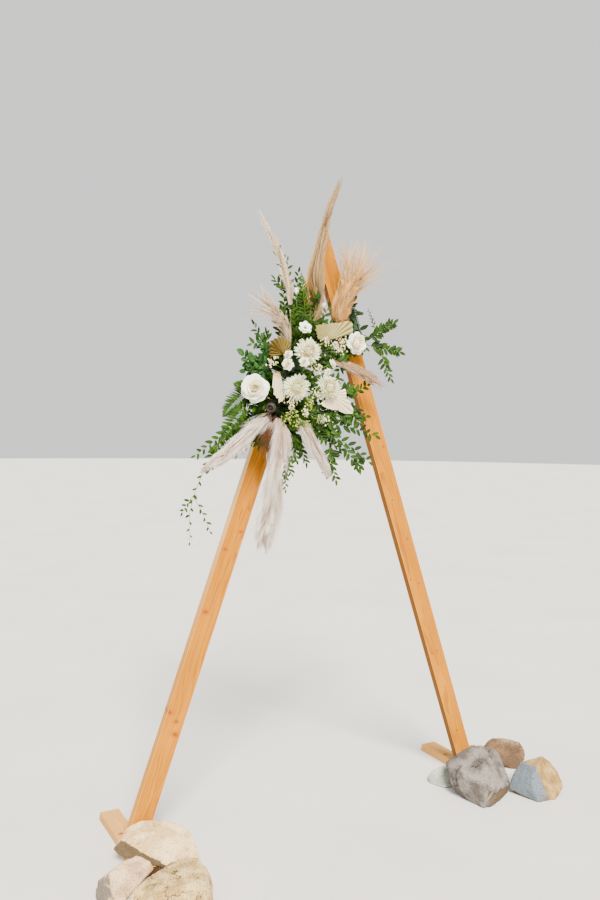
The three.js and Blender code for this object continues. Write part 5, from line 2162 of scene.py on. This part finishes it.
SPRAYS = (
    Spray("fern_left", "fern", FERN_GREEN, (
        Twig(LEFT.flank(-84, -1, 20, (-400, -60, 1945), (-485, -80, 1905), (-560, -92, 1835)),
             17, 62, 17, 0.3, 1.2),
        Twig(branch_of((-480, -100, 1850), (-530, -105, 1790), (-560, -105, 1730)),
             14, 52, 16, 0.25, 1.2),
    ), pinnate=True),
    Spray("fern_top", "fern", FERN_GREEN, (
        Twig(LEFT.end(1, 26, 28, (-128, -45, 2240), (-150, -66, 2380), (-170, -70, 2500)),
             18, 56, 13, 0.3, 1.2),
    ), pinnate=True, more=1.1),
    Spray("eucalyptus_left", "blue_leaf", BLUE, (
        Twig(LEFT.flank(52, -1, 40, (-330, -70, 2055), (-405, -90, 2065), (-465, -100, 2108)),
             8, 46, 32, 0.35, 0.9, 0.8),
    ), widest=0.5, point=0.5, shoots=3),
    Spray("leaves_left_upper", "leaf", OLIVE, (
        Twig(LEFT.flank(92, -1, 20, (-290, -50, 2120), (-355, -60, 2175), (-400, -70, 2245)),
             8, 42, 17, 0.35),
    )),
    Spray("leaves_top", "leaf", EMERALD, (
        Twig(LEFT.end(1, -8, 50, (-200, -100, 2290), (-246, -84, 2410), (-278, -78, 2520),
                    (-304, -74, 2605)), 11, 48, 18, 0.3, 0.9),
    ), shoots=0, more=1.3),
    Spray("leaves_right_high", "leaf", EMERALD, (
        Twig(RIGHT.flank(-34, 1, 40, (195, -92, 2225), (250, -102, 2258), (315, -105, 2295)),
             11, 46, 20, 0.3, 0.85, 0.7),
        Twig(branch_of((195, -105, 2290), (168, -108, 2345)), 6, 18, 6, 0.3),
    ), shoots=0, loose=0.4),
    Spray("leaves_right_low", "leaf", EMERALD, (
        Twig(RIGHT.flank(-72, 1, 40, (205, -92, 2178), (270, -108, 2168), (350, -112, 2158)),
             12, 46, 20, 0.3, 0.85, 0.7),
        Twig(branch_of((255, -112, 2110), (295, -115, 2030)), 7, 42, 18, 0.25),
    ), shoots=0, loose=0.4),
    Spray("leaves_inner_right", "leaf", EMERALD, (
        Twig(LEFT.flank(-2, 1, 20, (-60, -55, 1925), (60, -88, 1940), (180, -95, 2000)),
             12, 46, 22, 0.4),
        Twig(branch_of((60, -92, 1880), (115, -95, 1860), (172, -96, 1852)), 8, 44, 22),
    )),
    Spray("leaves_crossing", "leaf", EMERALD, (
        Twig(LEFT.flank(-100, 1, 22, (-60, -92, 1822), (80, -112, 1800), (215, -120, 1760)),
             12, 50, 22, 0.35),
    ), shoots=2, loose=0.6),
    Spray("leaves_hanging_right", "leaf", EMERALD, (
        Twig(LEFT.flank(-124, 1, 28, (-90, -90, 1790), (50, -125, 1725), (170, -135, 1640)),
             12, 48, 20),
        Twig(branch_of((-40, -118, 1680), (-5, -122, 1560)), 9, 46, 18, 0.25),
    ), shoots=2, loose=0.6),
    Spray("leaves_hanging_middle", "leaf", OLIVE, (
        Twig(LEFT.end(-1, 14, 40, (-232, -60, 1760), (-205, -85, 1715), (-195, -95, 1650)),
             8, 36, 16, 0.4),
        Twig(branch_of((-240, -80, 1655), (-245, -85, 1520)), 8, 32, 12),
    )),
    Spray("leaves_lower_left", "leaf", OLIVE, (
        Twig(LEFT.flank(-140, -1, 22, (-400, -75, 1835), (-520, -95, 1785), (-690, -110, 1675)),
             13, 44, 18),
        Twig(branch_of((-620, -88, 1640), (-690, -82, 1470), (-695, -80, 1305)), 9, 26, 12),
    )),
    Spray("greens_upper", "leaf", EMERALD, (
        Twig(LEFT.end(1, -20, 30, (-240, -72, 2260), (-272, -85, 2423)), 9, 44, 20),
        Twig(LEFT.end(1, -5, 25, (-215, -54, 2290), (-232, -56, 2544)), 12, 40, 17),
        Twig(LEFT.end(1, 10, 25, (-190, -44, 2270), (-168, -44, 2500)), 12, 40, 17),
        Twig(LEFT.end(1, 20, 40, (-150, -80, 2215), (-95, -92, 2320)), 9, 44, 20),
        Twig(LEFT.flank(150, -1, 40, (-262, -80, 2180), (-305, -85, 2300)), 8, 44, 20),
        Twig(LEFT.end(1, 0, 40, (-195, -90, 2210), (-228, -105, 2340)), 9, 46, 22),
        Twig(LEFT.end(1, 28, 40, (-120, -84, 2230), (-76, -96, 2400)), 9, 50, 22),
        Twig(LEFT.end(1, 24, 44, (-140, -52, 2230), (-112, -54, 2400)), 9, 48, 21),
        Twig(LEFT.end(1, 34, 36, (-90, -80, 2210), (-38, -92, 2350)), 8, 46, 20),
        Twig(LEFT.end(1, 36, 30, (-80, -76, 2190), (-26, -88, 2275)), 6, 46, 20),
    ), extra=True),
    Spray("greens_left", "blue_leaf", BLUE, (
        Twig(LEFT.flank(64, -1, 24, (-340, -66, 2030), (-448, -84, 2040)), 8, 46, 30),
        Twig(LEFT.flank(96, -1, 34, (-320, -74, 2100), (-385, -92, 2190)), 8, 42, 26),
        Twig(LEFT.flank(24, -1, 28, (-360, -72, 2000), (-420, -86, 2085)), 8, 44, 28),
    ), widest=0.5, point=0.5, shoots=3, extra=True),
    Spray("greens_core", "leaf", EMERALD, (
        Twig(LEFT.flank(40, 1, 30, (-100, -74, 2010), (20, -92, 2020)), 9, 50, 24),
        Twig(LEFT.flank(100, 1, 30, (-90, -84, 2080), (50, -100, 2120)), 10, 50, 24),
        Twig(LEFT.flank(-20, 1, 28, (-80, -84, 1930), (95, -94, 1951)), 11, 50, 24),
        Twig(LEFT.flank(-50, 1, 28, (-90, -84, 1880), (124, -98, 1882)), 12, 50, 24),
        Twig(LEFT.flank(-110, 1, 32, (-110, -100, 1800), (5, -104, 1780)), 9, 46, 22),
        Twig(LEFT.flank(120, 1, 36, (-110, -90, 2150), (-10, -100, 2190)), 9, 46, 22),
        Twig(RIGHT.flank(-40, -1, 26, (60, -78, 2130), (20, -90, 2050)), 8, 46, 22),
    ), extra=True),
    Spray("greens_low", "leaf", OLIVE, (
        Twig(LEFT.flank(-60, -1, 30, (-360, -84, 1900), (-430, -100, 1870)), 8, 48, 20),
        Twig(LEFT.flank(-100, -1, 30, (-360, -84, 1840), (-420, -100, 1770)), 8, 46, 18),
        Twig(LEFT.flank(-130, -1, 40, (-350, -96, 1790), (-384, -104, 1722)), 3, 46, 20, 0.7),
        Twig(LEFT.end(-1, -10, 40, (-270, -90, 1780), (-270, -100, 1690)), 7, 44, 18),
        Twig(LEFT.end(-1, 24, 34, (-200, -88, 1770), (-150, -100, 1640)), 9, 44, 18),
        Twig(LEFT.flank(-146, 1, 34, (-150, -92, 1790), (33, -110, 1700)), 11, 44, 20),
        Twig(LEFT.flank(-96, 1, 36, (-190, -100, 1858), (-112, -112, 1848)), 8, 44, 21),
        Twig(LEFT.flank(-84, 1, 36, (-180, -100, 1884), (-118, -112, 1892)), 8, 44, 21),
        Twig(LEFT.front(-120, 20, (-240, -112, 1838), (-196, -124, 1820)), 7, 42, 20),
        Twig(LEFT.flank(-140, -1, 34, (-400, -92, 1800), (-560, -110, 1720)), 11, 40, 16),
        Twig(LEFT.flank(-124, -1, 30, (-400, -84, 1790), (-490, -100, 1680)), 8, 40, 16),
    ), extra=True),
    Spray("ferns_behind", "fern", FERN_GREEN, (
        Twig(RIGHT.flank(-70, -1, 40, (30, -104, 2150), (-62, -116, 2140)), 12, 34, 14, 0.2, 1.1),
        Twig(LEFT.front(-60, 30, (-130, -130, 1930), (-112, -150, 1990)), 10, 34, 14, 0.3, 1.1),
        Twig(LEFT.flank(-120, -1, 24, (-420, -76, 1830), (-510, -96, 1760)), 12, 46, 18, 0.3, 1.2),
        Twig(LEFT.flank(-40, -1, 24, (-400, -64, 1960), (-510, -84, 1985)), 12, 50, 18, 0.3, 1.2),
        Twig(LEFT.end(1, 14, 36, (-166, -108, 2250), (-188, -130, 2370), (-206, -132, 2480)),
             10, 48, 13, 0.3, 1.35),
    ), pinnate=True, extra=True),
)


@dataclass
class Studio:
    """A pale floor, soft light from high in front, and the camera, placed in millimetres."""

    stand: Point = (-1978.0, -3319.0, 1809.0)
    heading: float = 0.509
    dip: float = 0.030
    roll: float = 0.011
    lens: float = 33.13
    sunward: Point = (-0.3, -1.0, 1.0)
    sun: float = 12.5
    softness: float = 24.0
    sky: float = 1.15
    ground: float = 40.0

    def build(self) -> None:
        """Lays the floor, hangs the soft key light and sets the camera."""
        bm = bmesh.new()
        bmesh.ops.create_circle(bm, cap_ends=True, segments=96, radius=self.ground)
        pale = Speckled("pale_floor", 0.85, 0.05, 0.3 * MM, 0.0, "#D6D3CE", "#D1CEC8", 900.0)
        finished("floor", mesh_of("floor", bm), pale.material())
        world = bpy.data.worlds.new("soft_sky")
        world.use_nodes = True
        sky = world.node_tree.nodes["Background"]
        sky.inputs["Color"].default_value = linear("#FAFAF8")
        sky.inputs["Strength"].default_value = self.sky
        bpy.context.scene.world = world
        lamp = bpy.data.lights.new("key", "SUN")
        lamp.angle = math.radians(self.softness)
        lamp.energy = self.sun
        lamp.color = linear("#FFF8EE")[:3]
        hung = bpy.data.objects.new("key", lamp)
        bpy.context.scene.collection.objects.link(hung)
        hung.rotation_euler = Vector(self.sunward).to_track_quat("Z", "Y").to_euler()
        self.aim()

    def aim(self) -> None:
        """Sets the camera where the picture was taken from."""
        lens = bpy.data.cameras.new("camera")
        lens.lens = self.lens
        lens.sensor_width = 36.0
        camera = bpy.data.objects.new("camera", lens)
        bpy.context.scene.collection.objects.link(camera)
        turn = Matrix.Rotation(-self.heading, 4, "Z")
        turn @= Matrix.Rotation(math.pi / 2 - self.dip, 4, "X")
        turn @= Matrix.Rotation(self.roll, 4, "Z")
        camera.matrix_world = Matrix.Translation(Vector(at(self.stand))) @ turn
        bpy.context.scene.camera = camera


# Soaked foam: dark, matt, its open pores seen as fine specks.
FOAM = Speckled("wet_floral_foam", 0.9, 0.5, 1.0 * MM, 0.0, "#2F4A2B", "#1F3320", 3.0)
# Black ties: smooth, with the only soft gloss on the arch.
NYLON = Speckled("black_nylon", 0.45, 0.15, 0.2 * MM, 0.0, "#1B1B1A", "#26251F", 1.5)
# A dried pod: nearly black, matt and wrinkled.
POD_SKIN = Speckled("dried_pod_skin", 0.75, 0.6, 0.8 * MM, 0.0, "#281A0E", "#181009", 3.0)
# Florets: matt, with a speckle that keeps them from looking like beads.
CREAM_FLORET = Speckled("cream_floret", 0.8, 0.3, 0.5 * MM, 0.1, "#EADFB8", "#C8BA88")
GREEN_FLORET = Speckled("yellow_green_floret", 0.8, 0.3, 0.5 * MM, 0.1, "#A8AE4C", "#7C8A34")
# Dry grass: dark where it leaves the foam, brown at its ends.
DRY_GRASS = Feather("dry_brown_grass", 0.9, 0.1, 0.4 * MM, 0.0, "#2E1808", "#683E18", "#1E1006")

PARTS = (
    Studio(),
    *BOARDS,
    *STONES,
    FoamBlock("left_foam_cage", FOAM),
    FoamBlock("right_foam_cage", FOAM),
    TieHeads(NYLON),
    *FLOWERS,
    Pod("dried_pod", LEFT.flank(-58, -1, 52, (-315, -110, 1895), (-350, -145, 1884)), POD_SKIN),
    *FANS,
    *PLUMES,
    *SPRAYS,
    Collar("leaf_collar_left", LEFT, EMERALD, 140),
    Collar("leaf_collar_right", RIGHT, EMERALD, 90, length=42.0, width=19.0, proud=8.0),
    Filler("cream", "cream_petal", CREAM_FLORET, (
        LEFT.end(1, 30, 40, (-84, -132, 2176)),
        LEFT.end(1, 34, 44, (-44, -128, 2160)),
        RIGHT.front(-60, -14, (6, -118, 2166)),
        RIGHT.front(-40, -16, (34, -112, 2196)),
        RIGHT.front(-70, -10, (32, -100, 2163)),
        LEFT.front(-90, 20, (-197, -150, 1867)),
        LEFT.flank(-110, 1, 40, (-88, -130, 1833)),
        LEFT.front(-80, -20, (-267, -160, 1896)),
        LEFT.flank(70, -1, 48, (-345, -150, 2072)),
        LEFT.front(-60, 36, (-150, -160, 1935)),
        LEFT.front(30, 34, (-150, -170, 2050)),
    )),
    Filler("green", "seed", GREEN_FLORET, (
        LEFT.front(-84, 4, (-246, -150, 1868)),
        LEFT.front(-112, 14, (-236, -150, 1826)),
        LEFT.front(-66, 30, (-176, -150, 1900)),
        LEFT.front(-104, -14, (-286, -156, 1842)),
        LEFT.front(-120, 34, (-190, -140, 1812)),
    ), floret=3.0),
    GrassTuft(DRY_GRASS),
)


def main() -> None:
    """Builds the stage and every sub-assembly of the arch, each of which reports its piece."""
    logging.basicConfig(level=logging.INFO, format="%(message)s")
    for part in PARTS:
        part.build()


if __name__ == "__main__":
    main()
